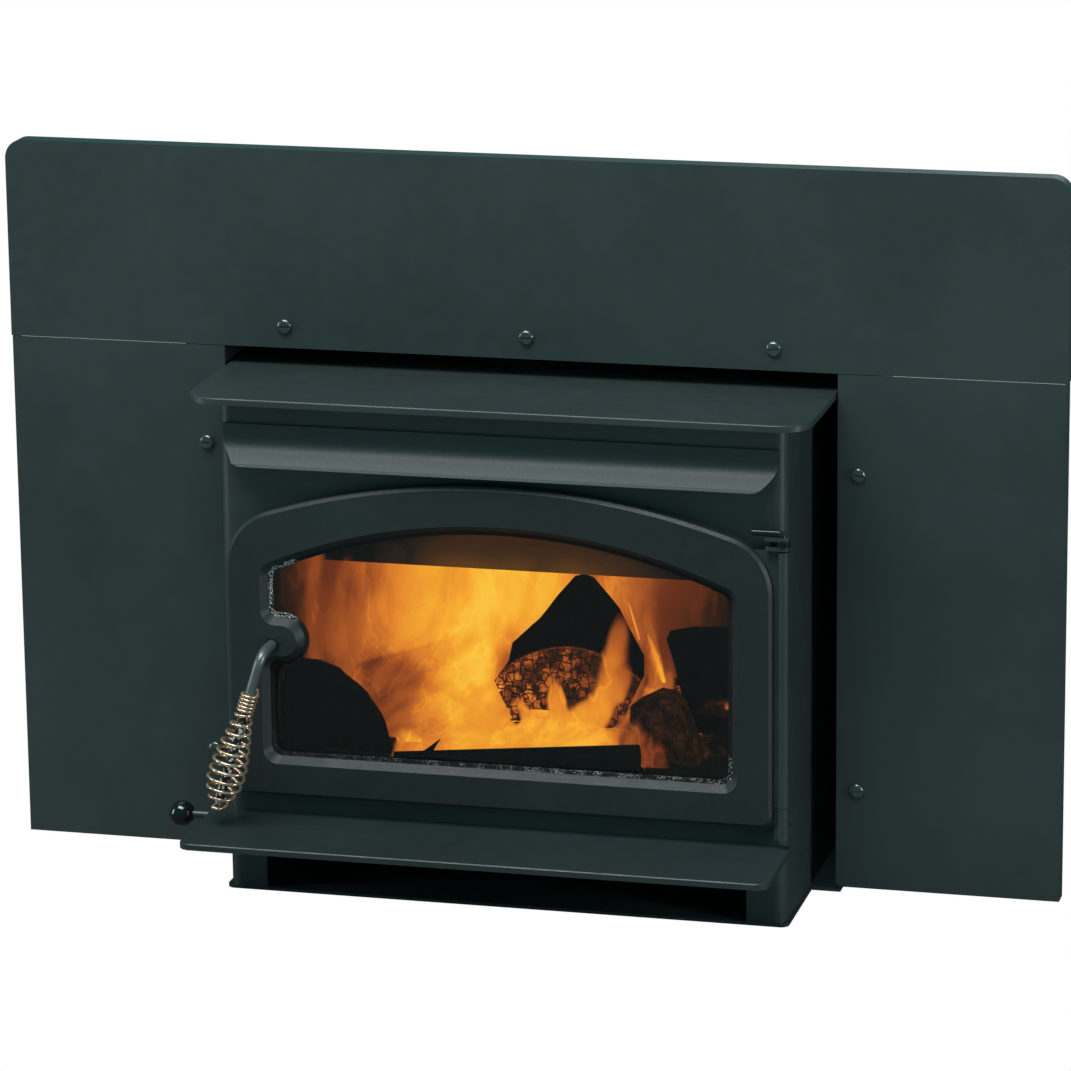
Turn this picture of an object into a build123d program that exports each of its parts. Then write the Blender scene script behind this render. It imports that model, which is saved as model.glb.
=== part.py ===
from build123d import *
from math import cos, pi, radians, sin, sqrt
import os

# A wood-burning fireplace insert: steel body and convection casing, cast door with an
# arched pane, three-piece surround, ash shelf, fire lining and logs.
# Millimetres. Origin on the hearth in the plane of the surround's front face, +X to
# the viewer's right, +Y into the fireplace, +Z up. The viewer stands at -Y.

# --- surround: three folded panels of sheet ---
SURROUND_WIDTH = 1016.0
SURROUND_TOP = 692.0
SURROUND_BOTTOM = 6.0
SEAM_Z = 502.0
SEAM_GAP = 0.6
OPENING_HALF = 295.0
PANEL_SHEET = 2.0
RETURN_DEPTH = 19.0
PANEL_CORNER = 18.0
SIDE_PANEL_INSET = 1.0
LOWER_CORNER = 5.0

# --- slotted screws that hold the panels, and their nuts ---
TOP_SCREW_X = (-235.0, 0.0, 235.0)
TOP_SCREW_Z = 523.0
SIDE_SCREW_X = 314.5
SIDE_SCREW_Z = (102.0, 407.0)
SLOT_ANGLES = (4.0, 0.0, 8.0, 22.0, -5.0, 3.0, -8.0)
SCREW_HEAD_R = 7.1
SCREW_HEAD_H = 4.0
SCREW_SHANK_R = 2.4
SCREW_LENGTH = 12.0
SLOT_WIDTH = 1.8
PANEL_HOLE_R = 3.0
FLANGE_HOLE_R = 2.55
NUT_ACROSS_R = 4.6
NUT_HEIGHT = 4.0
NUT_HOLE_R = 2.45

# --- body: wrapped 5 mm plate with rounded front corners and a tapered rear ---
BODY_HALF = 269.0
BODY_FRONT = -108.0
BODY_TURN = 250.0
BODY_BACK_HALF = 222.0
BODY_BACK = 325.0
BODY_PLATE = 5.0
BODY_BEND = 12.0
BASE_PLATE = 3.0
BASE_LIP = 2.5
BASE_CORNER = 8.0
BASE_OPENING_HALF = 232.0

# --- top plate and flue collar ---
TOP_PLATE = 6.35
TOP_Z = 484.0
TOP_HALF = 293.5
TOP_FRONT = -138.0
TOP_CORNER = 30.0
TOP_TURN = 200.0
TOP_BACK_HALF = 208.0
TOP_BACK = 328.0
FLUE_Y = 190.0
FLUE_BORE_R = 76.2
COLLAR_WALL = 4.8
COLLAR_TOP = 560.0
COLLAR_FLANGE_R = 98.0
COLLAR_FLANGE_T = 8.0
COLLAR_BOLT_R = 3.0
COLLAR_BOLT_L = 18.0
COLLAR_BOLT_CIRCLE = 89.5

# --- convection casing behind the surround ---
CASING_HALF = 299.0
CASING_SHEET = 2.0
CASING_TURN = 262.0
CASING_BACK_HALF = 252.0
CASING_BACK = 360.0
CASING_TOP = 506.0
FLANGE_WIDTH = 35.0
FLANGE_BOTTOM = 16.0
CASING_FLUE_GAP = 3.0

# --- shelf and air deflector on the body's front ---
SHELF_TOP = 79.0
SHELF_T = 6.0
SHELF_LEFT = -283.0
SHELF_RIGHT = 275.0
SHELF_FRONT = -222.0
SHELF_CORNER = 12.0
LIP_TOP = 454.5
LIP_BOTTOM = 418.5
LIP_HALF = 263.0
LIP_REACH = 24.0
LIP_SHEET = 3.0
LIP_CORNER = 28.0

# --- door casting ---
DOOR_FRONT = -125.0
DOOR_BACK = -110.0
DOOR_HALF = 259.0
DOOR_BOTTOM = 100.0
DOOR_TOP = 409.0
DOOR_ARCH_R = 711.0
DOOR_SHOULDER = 55.0
DOOR_CORNER = 10.0
DOOR_EDGE_BEVEL = 3.0
PANE_HALF = 227.0
PANE_BOTTOM = 131.0
PANE_TOP = 372.0
PANE_ARCH_R = 545.0
PANE_CORNER = 14.0
BEVEL_WIDTH = 6.2
BEVEL_DEPTH = 7.6
BOSS_X = -207.5
BOSS_Z = 251.2
BOSS_R = 14.8
BOSS_BLEND = 14.0
BOSS_PAD_R = 6.6
BOSS_PAD_H = 1.2
POCKET_Y = -116.0
POCKET_GROW = 7.2
BOSS_COLUMN_R = 15.0
GROOVE_INNER = 14.0
GROOVE_OUTER = 4.0
GROOVE_FLOOR = -115.0
ROPE_BACK = -108.3
BODY_GAP = 16.0

# --- pane, its gasket and clips ---
GASKET_T = 2.0
GASKET_WIDTH = 11.0
CLIP_T = 1.4
CLIP_WIDTH = 22.0
CLIP_DEPTH = 18.0
CLIP_SCREW_R = 2.0
CLIP_HEAD_R = 3.6
CLIP_HEAD_H = 2.2

# --- door hinge ---
HINGE_X = 268.7
HINGE_Y = -119.0
HINGE_TUBE_R = 4.8
HINGE_PIN_R = 3.0
RUNNING_GAP = 0.05
TUBE_BOTTOM = 119.5
TUBE_TOP = 362.0
EAR_LEFT = 236.0
LEAF_T = 4.0
LOWER_BARREL_BOTTOM = 88.0
LOWER_LUG_TOP = 98.5
LOWER_PIN_TOP = 160.0
UPPER_LUG_Z = (363.9, 373.0)
UPPER_LUG_T = 3.0
LUG_R = 5.4
L_PIN_Z = 379.5
L_PIN_LEG = 29.0
L_PIN_BOTTOM = 320.0
WASHER_R = 6.6
WASHER_T = 1.5

# --- handle: bent rod, coil grip, latch tongue ---
SHAFT_X = -215.5
SHAFT_Z = 248.0
SHAFT_R = 4.75
SHAFT_REAR = -83.0
ARM_Y = -160.0
ARM_TILT = 17.2
ARM_LENGTH = 160.0
ARM_BEND = 14.0
WIRE_R = 1.45
COIL_START = 41.0
COIL_TIGHT_TURNS = 5
COIL_TIGHT_PITCH = 3.7
COIL_OPEN_TURNS = 10
COIL_END = 154.0
COIL_NECK_R = 7.15
COIL_BELLY_R = 16.9
COIL_BELLY_L = 127.0
COIL_FOOT_R = 8.1
COIL_TAIL_ANGLE = 110.0
COIL_TAIL_STEP = 2.5
COIL_TAIL_BEND = 2.6
TONGUE_FRONT = -97.5
TONGUE_BACK = -91.5
TONGUE_HUB_R = 11.0
TONGUE_WIDTH = 12.0
TONGUE_REACH = 26.0
KEEPER_LEFT = -256.5
KEEPER_RIGHT = -232.0
KEEPER_T = 5.0

# --- air control ---
AIR_Y = -88.0
AIR_Z = 63.5
AIR_ROD_R = 4.0
BALL_X = -321.4
BALL_R = 12.7
AIR_BOX_LEFT = -150.0
AIR_BOX_RIGHT = 59.4
AIR_BOX_FRONT = -100.0
AIR_BOX_BACK = -40.0
AIR_BOX_BOTTOM = 52.0
AIR_BOX_SHEET = 3.0
DAMPER_LEFT = -100.0
DAMPER_RIGHT = -20.0
DAMPER_T = 4.0
INLET_LEFT = -45.0
INLET_RIGHT = 15.0
INLET_DEPTH = 36.0

# --- fire lining ---
FLOOR_Z = 92.0
FLOOR_T = 5.0
BRICK_T = 25.0
SIDE_BRICK_T = 27.2
BRICK_GAP = 1.0
CHAMBER_HALF = 236.0
CHAMBER_FRONT = -76.0
CHAMBER_BACK = 248.0
BAFFLE_Z = 297.0
BAFFLE_T = 25.0
BAFFLE_FRONT = 0.0
BAFFLE_BACK = 275.0
BAFFLE_HALF = 262.0

# --- logs, as (x, z) outlines of their front ends ---
LEFT_LOG = (
    (-228, 122),
    (-232, 196),
    (-214, 213),
    (-193, 211),
    (-175, 205),
    (-160, 191),
    (-146, 172),
    (-129, 146),
    (-119, 122),
)
UPRIGHT_LOG = (
    (-24, 134),
    (-42, 160),
    (-37, 193),
    (-27, 213),
    (-2, 240),
    (18, 264),
    (37, 283),
    (54, 280),
    (73, 254),
    (96, 221),
    (107, 197),
    (108, 162),
    (90, 134),
)
RIGHT_LOG = (
    (146, 134),
    (124, 168),
    (121, 214),
    (135, 234),
    (165, 243),
    (200, 241),
    (226, 226),
    (232, 176),
    (218, 134),
)
LEANING_LOG = (
    (104, 122),
    (99, 160),
    (101, 178),
    (122, 189),
    (138, 186),
    (148, 176),
    (163, 140),
    (170, 122),
)

BODY_TOP = TOP_Z - TOP_PLATE
BRICK_TOP = FLOOR_Z + FLOOR_T + BRICK_T


def slab(face, y_front, y_back):
    """A front-view face (its x is X, its y is Z) made solid from y_front to y_back."""
    return extrude(Plane.XZ.offset(-y_back) * face, y_back - y_front)


def block(x0, x1, y0, y1, z0, z1):
    """A rectangular solid between two corners."""
    return Pos((x0 + x1) / 2, (y0 + y1) / 2, (z0 + z1) / 2) * Box(x1 - x0, y1 - y0, z1 - z0)


def rect(x0, x1, z0, z1):
    """A rectangular sketch between two corners."""
    return Pos((x0 + x1) / 2, (z0 + z1) / 2) * Rectangle(x1 - x0, z1 - z0)


def rod(start, end, radius):
    """A round bar from start to end."""
    axis = Vector(*end) - Vector(*start)
    return extrude(Plane(origin=start, z_dir=axis) * Circle(radius), axis.length)


def arch(half, bottom, top, radius, shoulder, corner):
    """An arch-topped face, standing on its bottom edge and centred on x = 0."""
    spring = top - radius + sqrt(radius**2 - half**2)
    sides = Polyline((-half, spring), (-half, bottom), (half, bottom), (half, spring))
    crown = ThreePointArc((half, spring), (0, top), (-half, spring))
    face = make_face(sides + crown)
    ordered = face.vertices().sort_by(Axis.Y)
    if corner:
        face = fillet(ordered[:2], corner)
        ordered = face.vertices().sort_by(Axis.Y)
    return fillet(ordered[-2:], shoulder)


def door_face(inset):
    """The door's outline, drawn in by inset."""
    return arch(
        DOOR_HALF - inset,
        DOOR_BOTTOM + inset,
        DOOR_TOP - inset,
        DOOR_ARCH_R - inset,
        DOOR_SHOULDER - inset,
        max(DOOR_CORNER - inset, 1.0),
    )


def pane_face(inset):
    """The arched window, drawn in by inset, without the handle boss."""
    return arch(
        PANE_HALF - inset,
        PANE_BOTTOM + inset,
        PANE_TOP - inset,
        PANE_ARCH_R - inset,
        PANE_CORNER - inset / 2,
        PANE_CORNER - inset / 2,
    )


def window_face(inset):
    """The window with the handle boss reaching in from its left edge."""
    edge = -(PANE_HALF - inset)
    reach = BOSS_R + inset
    lobe = Pos(BOSS_X, BOSS_Z) * Circle(reach)
    lobe += rect(-DOOR_HALF, BOSS_X, BOSS_Z - reach, BOSS_Z + reach)
    face = pane_face(inset) - lobe
    joins = [v for v in face.vertices() if abs(v.X - edge) < 0.01 and abs(v.Y - BOSS_Z) < 40]
    return fillet(joins, BOSS_BLEND - inset)


def plan(half, y_front, y_turn, back_half, y_back):
    """A plan outline: straight sides, then a taper to a narrower back."""
    return make_face(
        Polyline(
            (-half, y_front),
            (half, y_front),
            (half, y_turn),
            (back_half, y_back),
            (-back_half, y_back),
            (-half, y_turn),
            close=True,
        )
    )


def round_front(face, y_front, radius):
    """Rounds the two plan corners at the front."""
    return fillet([v for v in face.vertices() if abs(v.Y - y_front) < 0.01], radius)


def body_plan(inset):
    """The body's plan, drawn in by inset."""
    face = plan(BODY_HALF, BODY_FRONT, BODY_TURN, BODY_BACK_HALF, BODY_BACK)
    if inset:
        face = offset(face, -inset, kind=Kind.INTERSECTION)
    return round_front(face, BODY_FRONT + inset, BODY_BEND - inset)


def prism(face, z0, z1):
    """A plan face made solid from z0 to z1."""
    return extrude(Pos(0, 0, z0) * face, z1 - z0)


def biarc(start, start_dir, end, end_dir):
    """Two arcs that join start to end, tangent to both directions."""
    chord = end - start
    total = start_dir + end_dir
    spread = 2 * (1 - start_dir.dot(end_dir))
    along = chord.dot(total)
    if spread < 1e-9:
        reach = chord.dot(chord) / (2 * along)
    else:
        reach = (sqrt(along**2 + spread * chord.dot(chord)) - along) / spread
    middle = (start + end + (start_dir - end_dir) * reach) / 2
    middle_dir = (end - end_dir * reach) - (start + start_dir * reach)
    first = TangentArc(start, middle, tangent=start_dir)
    second = TangentArc(middle, end, tangent=middle_dir)
    return [first, second]


# --- surround ---


def panel_holes(places):
    """Screw holes through a panel or flange, as (x, z, radius)."""
    return [slab(Pos(x, z) * Circle(r), -1, RETURN_DEPTH) for x, z, r in places]


def surround_top_panel():
    """Top panel: a shallow pan, open along its bottom edge."""
    half = SURROUND_WIDTH / 2
    outer = rect(-half, half, SEAM_Z, SURROUND_TOP)
    outer = fillet(outer.vertices().sort_by(Axis.Y)[-2:], PANEL_CORNER)
    hollow = rect(-half + PANEL_SHEET, half - PANEL_SHEET, SEAM_Z - 5, SURROUND_TOP - PANEL_SHEET)
    hollow = fillet(hollow.vertices().sort_by(Axis.Y)[-2:], PANEL_CORNER - PANEL_SHEET)
    pan = slab(outer, 0, RETURN_DEPTH) - slab(hollow, PANEL_SHEET, RETURN_DEPTH + 1)
    for hole in panel_holes([(x, TOP_SCREW_Z, PANEL_HOLE_R) for x in TOP_SCREW_X]):
        pan -= hole
    return pan


def surround_side_panel(side):
    """Left (-1) or right (+1) panel: a flat sheet with a return on its outer edge."""
    outer_x = side * (SURROUND_WIDTH / 2 - SIDE_PANEL_INSET)
    inner_x = side * OPENING_HALF
    top = SEAM_Z - SEAM_GAP
    x0, x1 = sorted((outer_x, inner_x))
    face = rect(x0, x1, SURROUND_BOTTOM, top)
    lower_inner = [
        v for v in face.vertices() if abs(v.X - inner_x) < 0.01 and v.Y < SURROUND_BOTTOM + 1
    ]
    face = fillet(lower_inner, LOWER_CORNER)
    edge0, edge1 = sorted((outer_x, outer_x - side * PANEL_SHEET))
    panel = slab(face, 0, PANEL_SHEET)
    panel += block(edge0, edge1, 0, RETURN_DEPTH, SURROUND_BOTTOM, top)
    for hole in panel_holes([(side * SIDE_SCREW_X, z, PANEL_HOLE_R) for z in SIDE_SCREW_Z]):
        panel -= hole
    return panel


def screw_places():
    """The (x, z) of every panel screw."""
    top = [(x, TOP_SCREW_Z) for x in TOP_SCREW_X]
    return top + [(side * SIDE_SCREW_X, z) for side in (-1, 1) for z in SIDE_SCREW_Z]


def surround_screws():
    """Round-head slotted screws, heads against the panels' faces."""
    screws = []
    for (x, z), angle in zip(screw_places(), SLOT_ANGLES):
        head = slab(Pos(x, z) * Circle(SCREW_HEAD_R), -SCREW_HEAD_H, 0)
        rim = head.edges().filter_by(GeomType.CIRCLE).sort_by(Axis.Y)[0]
        head = fillet(rim, SCREW_HEAD_H * 0.7)
        slot = Pos(x, z) * Rot(0, 0, angle) * Rectangle(4 * SCREW_HEAD_R, SLOT_WIDTH)
        head -= slab(slot, -SCREW_HEAD_H - 1, -SCREW_HEAD_H + SLOT_WIDTH)
        screws.append(head + slab(Pos(x, z) * Circle(SCREW_SHANK_R), -0.5, SCREW_LENGTH))
    return screws


def surround_nuts():
    """Hexagon nuts welded behind the casing's flange."""
    back = PANEL_SHEET + CASING_SHEET
    nuts = []
    for x, z in screw_places():
        face = Pos(x, z) * (RegularPolygon(NUT_ACROSS_R, 6) - Circle(NUT_HOLE_R))
        nuts.append(slab(face, back, back + NUT_HEIGHT))
    return nuts


# --- casing, body and base ---


def casing_plan(inset):
    """The casing's plan, drawn in by inset."""
    face = plan(CASING_HALF, 0, CASING_TURN, CASING_BACK_HALF, CASING_BACK)
    if inset:
        face = offset(face, -inset, kind=Kind.INTERSECTION)
    return face


def casing_wrap():
    """Convection casing: sides and tapered back, open at the front."""
    wrap_top = CASING_TOP - CASING_SHEET
    wrap = prism(casing_plan(0) - casing_plan(CASING_SHEET), BASE_PLATE, wrap_top)
    return wrap - block(-400, 400, -50, PANEL_SHEET, 0, CASING_TOP)


def casing_top():
    """Lid of the casing, with a hole for the flue collar."""
    lid = prism(casing_plan(0), CASING_TOP - CASING_SHEET, CASING_TOP)
    lid -= block(-400, 400, -50, PANEL_SHEET, 0, CASING_TOP + 1)
    neck = FLUE_BORE_R + COLLAR_WALL + CASING_FLUE_GAP
    return lid - Pos(0, FLUE_Y, CASING_TOP) * Cylinder(neck, 20)


def casing_flange():
    """Flat frame welded round the casing's mouth, which the panels screw to."""
    reach = CASING_HALF + FLANGE_WIDTH
    face = rect(-reach, reach, FLANGE_BOTTOM, CASING_TOP + FLANGE_WIDTH - 1)
    face -= rect(-CASING_HALF, CASING_HALF, 0, CASING_TOP)
    flange = slab(face, PANEL_SHEET, PANEL_SHEET + CASING_SHEET)
    for hole in panel_holes([(x, z, FLANGE_HOLE_R) for x, z in screw_places()]):
        flange -= hole
    return flange


def base_floor():
    """Bottom plate, with a small lip round the body's front corners."""
    half = BODY_HALF + BASE_LIP
    front = rect(-half, half, BODY_FRONT - BASE_LIP + 0.5, 4.0)
    front = fillet(front.vertices().sort_by(Axis.Y)[:2], BASE_CORNER)
    rear = casing_plan(0) - rect(-400, 400, -10, PANEL_SHEET)
    return prism(front + rear, 0, BASE_PLATE)


def body_shell():
    """The wrapped body before it is split into its front and rear plates."""
    shell = prism(body_plan(0), BASE_PLATE, BODY_TOP)
    return shell - prism(body_plan(BODY_PLATE), BASE_PLATE - 1, BODY_TOP + 1)


def body_front(shell):
    """Front plate and sides, with the door and base openings."""
    plate = shell & block(-300, 300, BODY_FRONT - 1, BODY_TURN, 0, BODY_TOP)
    gap = BODY_GAP
    opening = arch(
        DOOR_HALF - gap,
        DOOR_BOTTOM + gap,
        DOOR_TOP - gap,
        DOOR_ARCH_R - gap,
        DOOR_SHOULDER - gap,
        6.0,
    )
    plate -= slab(opening, BODY_FRONT - 1, BODY_FRONT + BODY_PLATE + 1)
    base = rect(-BASE_OPENING_HALF, BASE_OPENING_HALF, 0, SHELF_TOP)
    plate -= slab(base, BODY_FRONT - 1, BODY_FRONT + BODY_PLATE + 1)
    plate -= rod((-300, AIR_Y, AIR_Z), (-200, AIR_Y, AIR_Z), AIR_ROD_R + 3.0)
    return plate


def body_rear(shell):
    """Tapered rear plates, with the slot that feeds air to the channel behind."""
    plate = shell & block(-300, 300, BODY_TURN, BODY_BACK + 1, 0, BODY_TOP)
    return plate - block(-150, 150, BODY_BACK - 20, BODY_BACK + 5, 20, 70)


def top_plate():
    """Thick top plate, running through the surround over the whole body."""
    face = plan(TOP_HALF, TOP_FRONT, TOP_TURN, TOP_BACK_HALF, TOP_BACK)
    plate = prism(round_front(face, TOP_FRONT, TOP_CORNER), BODY_TOP, TOP_Z)
    upper = plate.faces().sort_by(Axis.Z)[-1]
    plate = chamfer(upper.edges(), 0.8)
    plate -= Pos(0, FLUE_Y, TOP_Z) * Cylinder(FLUE_BORE_R + 1.8, 40)
    for x, y in bolt_circle():
        plate -= Pos(x, y, TOP_Z) * Cylinder(COLLAR_BOLT_R + 0.2, 40)
    return plate


def bolt_circle():
    """The (x, y) of the four flue collar bolts."""
    angles = [radians(45 + 90 * k) for k in range(4)]
    return [(COLLAR_BOLT_CIRCLE * cos(a), FLUE_Y + COLLAR_BOLT_CIRCLE * sin(a)) for a in angles]


def flue_collar():
    """Cast collar: a flange on the top plate and a socket for the flue pipe."""
    neck_r = FLUE_BORE_R + COLLAR_WALL
    neck_h = COLLAR_TOP - TOP_Z
    ring = Pos(0, FLUE_Y, TOP_Z + COLLAR_FLANGE_T / 2) * Cylinder(COLLAR_FLANGE_R, COLLAR_FLANGE_T)
    ring += Pos(0, FLUE_Y, TOP_Z + neck_h / 2) * Cylinder(neck_r, neck_h)
    ring -= Pos(0, FLUE_Y, TOP_Z + neck_h / 2) * Cylinder(FLUE_BORE_R, neck_h + 2)
    for x, y in bolt_circle():
        ring -= Pos(x, y, TOP_Z) * Cylinder(COLLAR_BOLT_R + 0.2, 40)
    return ring


def collar_bolts():
    """Hexagon-head bolts through the collar's flange and the top plate."""
    seat = TOP_Z + COLLAR_FLANGE_T
    bolts = []
    for x, y in bolt_circle():
        shank = Pos(x, y, seat - COLLAR_BOLT_L / 2) * Cylinder(COLLAR_BOLT_R, COLLAR_BOLT_L)
        bolts.append(shank + prism(Pos(x, y) * RegularPolygon(5.77, 6), seat, seat + 4))
    return bolts


def air_deflector():
    """Concave lip under the top plate that throws warm air clear of the door."""
    wall = BODY_FRONT
    skin = wall - LIP_SHEET
    tip = wall - LIP_REACH
    drop = 10.0
    outline = Polyline(
        (wall, LIP_TOP - drop),
        (wall, LIP_TOP),
        (skin, LIP_TOP),
        (skin, LIP_TOP - drop),
    )
    cove = Spline(
        (skin, LIP_TOP - drop),
        (skin - 6.0, LIP_BOTTOM + 10.5),
        (tip, LIP_BOTTOM + LIP_SHEET),
        tangents=((0, -1), (-1, -0.22)),
    )
    edge = Polyline((tip, LIP_BOTTOM + LIP_SHEET), (tip, LIP_BOTTOM), (tip + 3.0, LIP_BOTTOM))
    under = Spline(
        (tip + 3.0, LIP_BOTTOM),
        (wall - 5.0, LIP_BOTTOM + 9.0),
        (wall, LIP_TOP - drop),
        tangents=((1, 0.22), (0, 1)),
    )
    profile = make_face(outline + cove + edge + under)
    lip = extrude(Plane.YZ.offset(-LIP_HALF) * profile, 2 * LIP_HALF)
    front_view = rect(-LIP_HALF, LIP_HALF, LIP_BOTTOM - 1, LIP_TOP + 1)
    front_view = fillet(front_view.vertices().sort_by(Axis.Y)[:2], LIP_CORNER)
    return lip & slab(front_view, tip - 1, wall + 1)


def ash_shelf():
    """Shelf plate, set into the base opening's top edge."""
    face = rect(SHELF_LEFT, SHELF_RIGHT, SHELF_FRONT, BODY_FRONT)
    face = fillet(face.vertices().sort_by(Axis.Y)[:2], SHELF_CORNER)
    shelf = prism(face, SHELF_TOP - SHELF_T, SHELF_TOP)
    front_edges = [e for e in shelf.edges() if e.center().Y < BODY_FRONT - 0.1]
    shelf = chamfer([e for e in front_edges if abs(e.center().Z - SHELF_TOP) < 0.01], 0.8)
    half = BASE_OPENING_HALF
    return shelf + block(
        -half, half, BODY_FRONT - 0.5, BODY_FRONT + BODY_PLATE, SHELF_TOP - SHELF_T, SHELF_TOP
    )


# --- door ---


def boss_column(grow):
    """The solid round the handle shaft, full depth, joined to the left stile."""
    face = Pos(SHAFT_X, SHAFT_Z) * Circle(BOSS_COLUMN_R + grow)
    return face + rect(-DOOR_HALF, SHAFT_X, SHAFT_Z - BOSS_COLUMN_R - grow, SHAFT_Z + BOSS_COLUMN_R + grow)


def door_frame():
    """Cast door with a bevelled window, a handle boss and rear rebates."""
    frame = slab(door_face(0), DOOR_FRONT, DOOR_BACK)
    outer = frame.faces().sort_by(Axis.Y)[0].edges()
    frame = chamfer(outer, DOOR_EDGE_BEVEL)
    bevel_back = DOOR_FRONT + BEVEL_DEPTH
    near = Plane.XZ.offset(-DOOR_FRONT) * window_face(0)
    far = Plane.XZ.offset(-bevel_back) * window_face(BEVEL_WIDTH)
    frame -= loft([near, far], ruled=True)
    frame -= slab(window_face(BEVEL_WIDTH), bevel_back - 0.01, DOOR_BACK + 1)
    frame -= slab(pane_face(BEVEL_WIDTH - POCKET_GROW) - boss_column(0), POCKET_Y, DOOR_BACK + 1)
    frame -= slab(door_face(GROOVE_OUTER) - door_face(GROOVE_INNER), GROOVE_FLOOR, DOOR_BACK + 1)
    frame += slab(Pos(SHAFT_X, SHAFT_Z) * Circle(BOSS_PAD_R), DOOR_FRONT - BOSS_PAD_H, DOOR_FRONT)
    bore = slab(Pos(SHAFT_X, SHAFT_Z) * Circle(SHAFT_R + RUNNING_GAP), -140, -100)
    frame -= bore
    for x, z, across in clip_places():
        point = clip_screw_place(x, z, across)
        frame -= slab(Pos(*point) * Circle(CLIP_SCREW_R + 0.05), DOOR_BACK - 6.5, DOOR_BACK + 1)
    return frame


def door_rope_gasket():
    """Rope seal in the door's rear groove, touching the body when shut."""
    ring = slab(door_face(GROOVE_OUTER) - door_face(GROOVE_INNER), GROOVE_FLOOR, ROPE_BACK)
    rear = ring.faces().sort_by(Axis.Y)[-1]
    return fillet(rear.edges(), 2.5)


def glass_pane_face():
    """The ceramic pane, notched where the handle boss comes through."""
    return pane_face(BEVEL_WIDTH - POCKET_GROW + 1.0) - boss_column(1.0)


def door_glass():
    """Flat ceramic pane."""
    return slab(glass_pane_face(), POCKET_Y + GASKET_T, DOOR_BACK)


def glass_gasket():
    """Flat woven tape between the pane and the casting."""
    ring = glass_pane_face() - window_face(BEVEL_WIDTH - POCKET_GROW + GASKET_WIDTH)
    return slab(ring, POCKET_Y, POCKET_Y + GASKET_T)


def clip_places():
    """Clips as (x, z, direction): direction points from the pane to the casting."""
    edge = PANE_HALF
    return [
        (-150.0, PANE_BOTTOM, (0, -1)),
        (0.0, PANE_BOTTOM, (0, -1)),
        (150.0, PANE_BOTTOM, (0, -1)),
        (-edge, 190.0, (-1, 0)),
        (edge, 190.0, (1, 0)),
        (edge, 290.0, (1, 0)),
        (0.0, PANE_TOP, (0, 1)),
    ]


def clip_screw_place(x, z, across):
    """Centre of a clip's screw, outside the pane's pocket."""
    reach = 5.0 if across[0] else 5.5
    return (x + across[0] * reach, z + across[1] * reach)


def glass_clips():
    """Small spring plates that hold the pane in its pocket."""
    clips = []
    for x, z, across in clip_places():
        wide = CLIP_DEPTH if across[0] else CLIP_WIDTH
        tall = CLIP_WIDTH if across[0] else CLIP_DEPTH
        face = Pos(x, z) * Rectangle(wide, tall)
        face = fillet(face.vertices(), 2.0)
        face -= Pos(*clip_screw_place(x, z, across)) * Circle(CLIP_SCREW_R + 0.1)
        clips.append(slab(face, DOOR_BACK, DOOR_BACK + CLIP_T))
    return clips


def clip_screws():
    """Button-head screws through the clips into the casting."""
    seat = DOOR_BACK + CLIP_T
    screws = []
    for place in clip_places():
        spot = Pos(*clip_screw_place(*place))
        head = slab(spot * Circle(CLIP_HEAD_R), seat, seat + CLIP_HEAD_H)
        rim = head.edges().filter_by(GeomType.CIRCLE).sort_by(Axis.Y)[-1]
        head = fillet(rim, 1.2)
        screws.append(head + slab(spot * Circle(CLIP_SCREW_R), DOOR_BACK - 6.0, seat + 0.5))
    return screws


# --- hinge ---


def hinge_rod(z0, z1, radius):
    """A round bar on the hinge axis."""
    return rod((HINGE_X, HINGE_Y, z0), (HINGE_X, HINGE_Y, z1), radius)


def door_hinge_tube():
    """Long barrel along the door's right edge."""
    tube = hinge_rod(TUBE_BOTTOM, TUBE_TOP, HINGE_TUBE_R)
    return tube - hinge_rod(TUBE_BOTTOM - 1, TUBE_TOP + 1, HINGE_PIN_R + RUNNING_GAP)


def door_hinge_leaf():
    """Plate between the door's edge and the barrel, with the ear over the shoulder."""
    strip = rect(DOOR_HALF - 10, HINGE_X, TUBE_BOTTOM, TUBE_TOP)
    ear = rect(EAR_LEFT, HINGE_X, TUBE_TOP - 50, TUBE_TOP)
    face = strip + ear - door_face(0)
    leaf = slab(face, DOOR_BACK - LEAF_T - 4, DOOR_BACK - 2)
    solid = leaf - hinge_rod(TUBE_BOTTOM - 1, TUBE_TOP + 1, HINGE_TUBE_R)
    return solid.solids().sort_by(SortBy.VOLUME)[-1]


def lower_hinge_bracket(body_solid):
    """Fixed barrel on a lug that is welded to the body's right front corner."""
    lug = rect(HINGE_X - 8.5, HINGE_X + 3.3, HINGE_Y, BODY_FRONT + 8)
    lug = prism(lug, LOWER_BARREL_BOTTOM, LOWER_LUG_TOP)
    barrel = hinge_rod(LOWER_BARREL_BOTTOM, TUBE_BOTTOM - 0.6, HINGE_TUBE_R)
    bracket = lug + barrel - hinge_rod(0, 300, HINGE_PIN_R)
    return bracket - body_solid


def lower_hinge_pin():
    """Pin standing in the fixed barrel, up into the door's barrel."""
    pin = hinge_rod(LOWER_BARREL_BOTTOM, LOWER_PIN_TOP, HINGE_PIN_R)
    return chamfer(pin.edges().sort_by(Axis.Z)[-1], 1.0)


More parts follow.
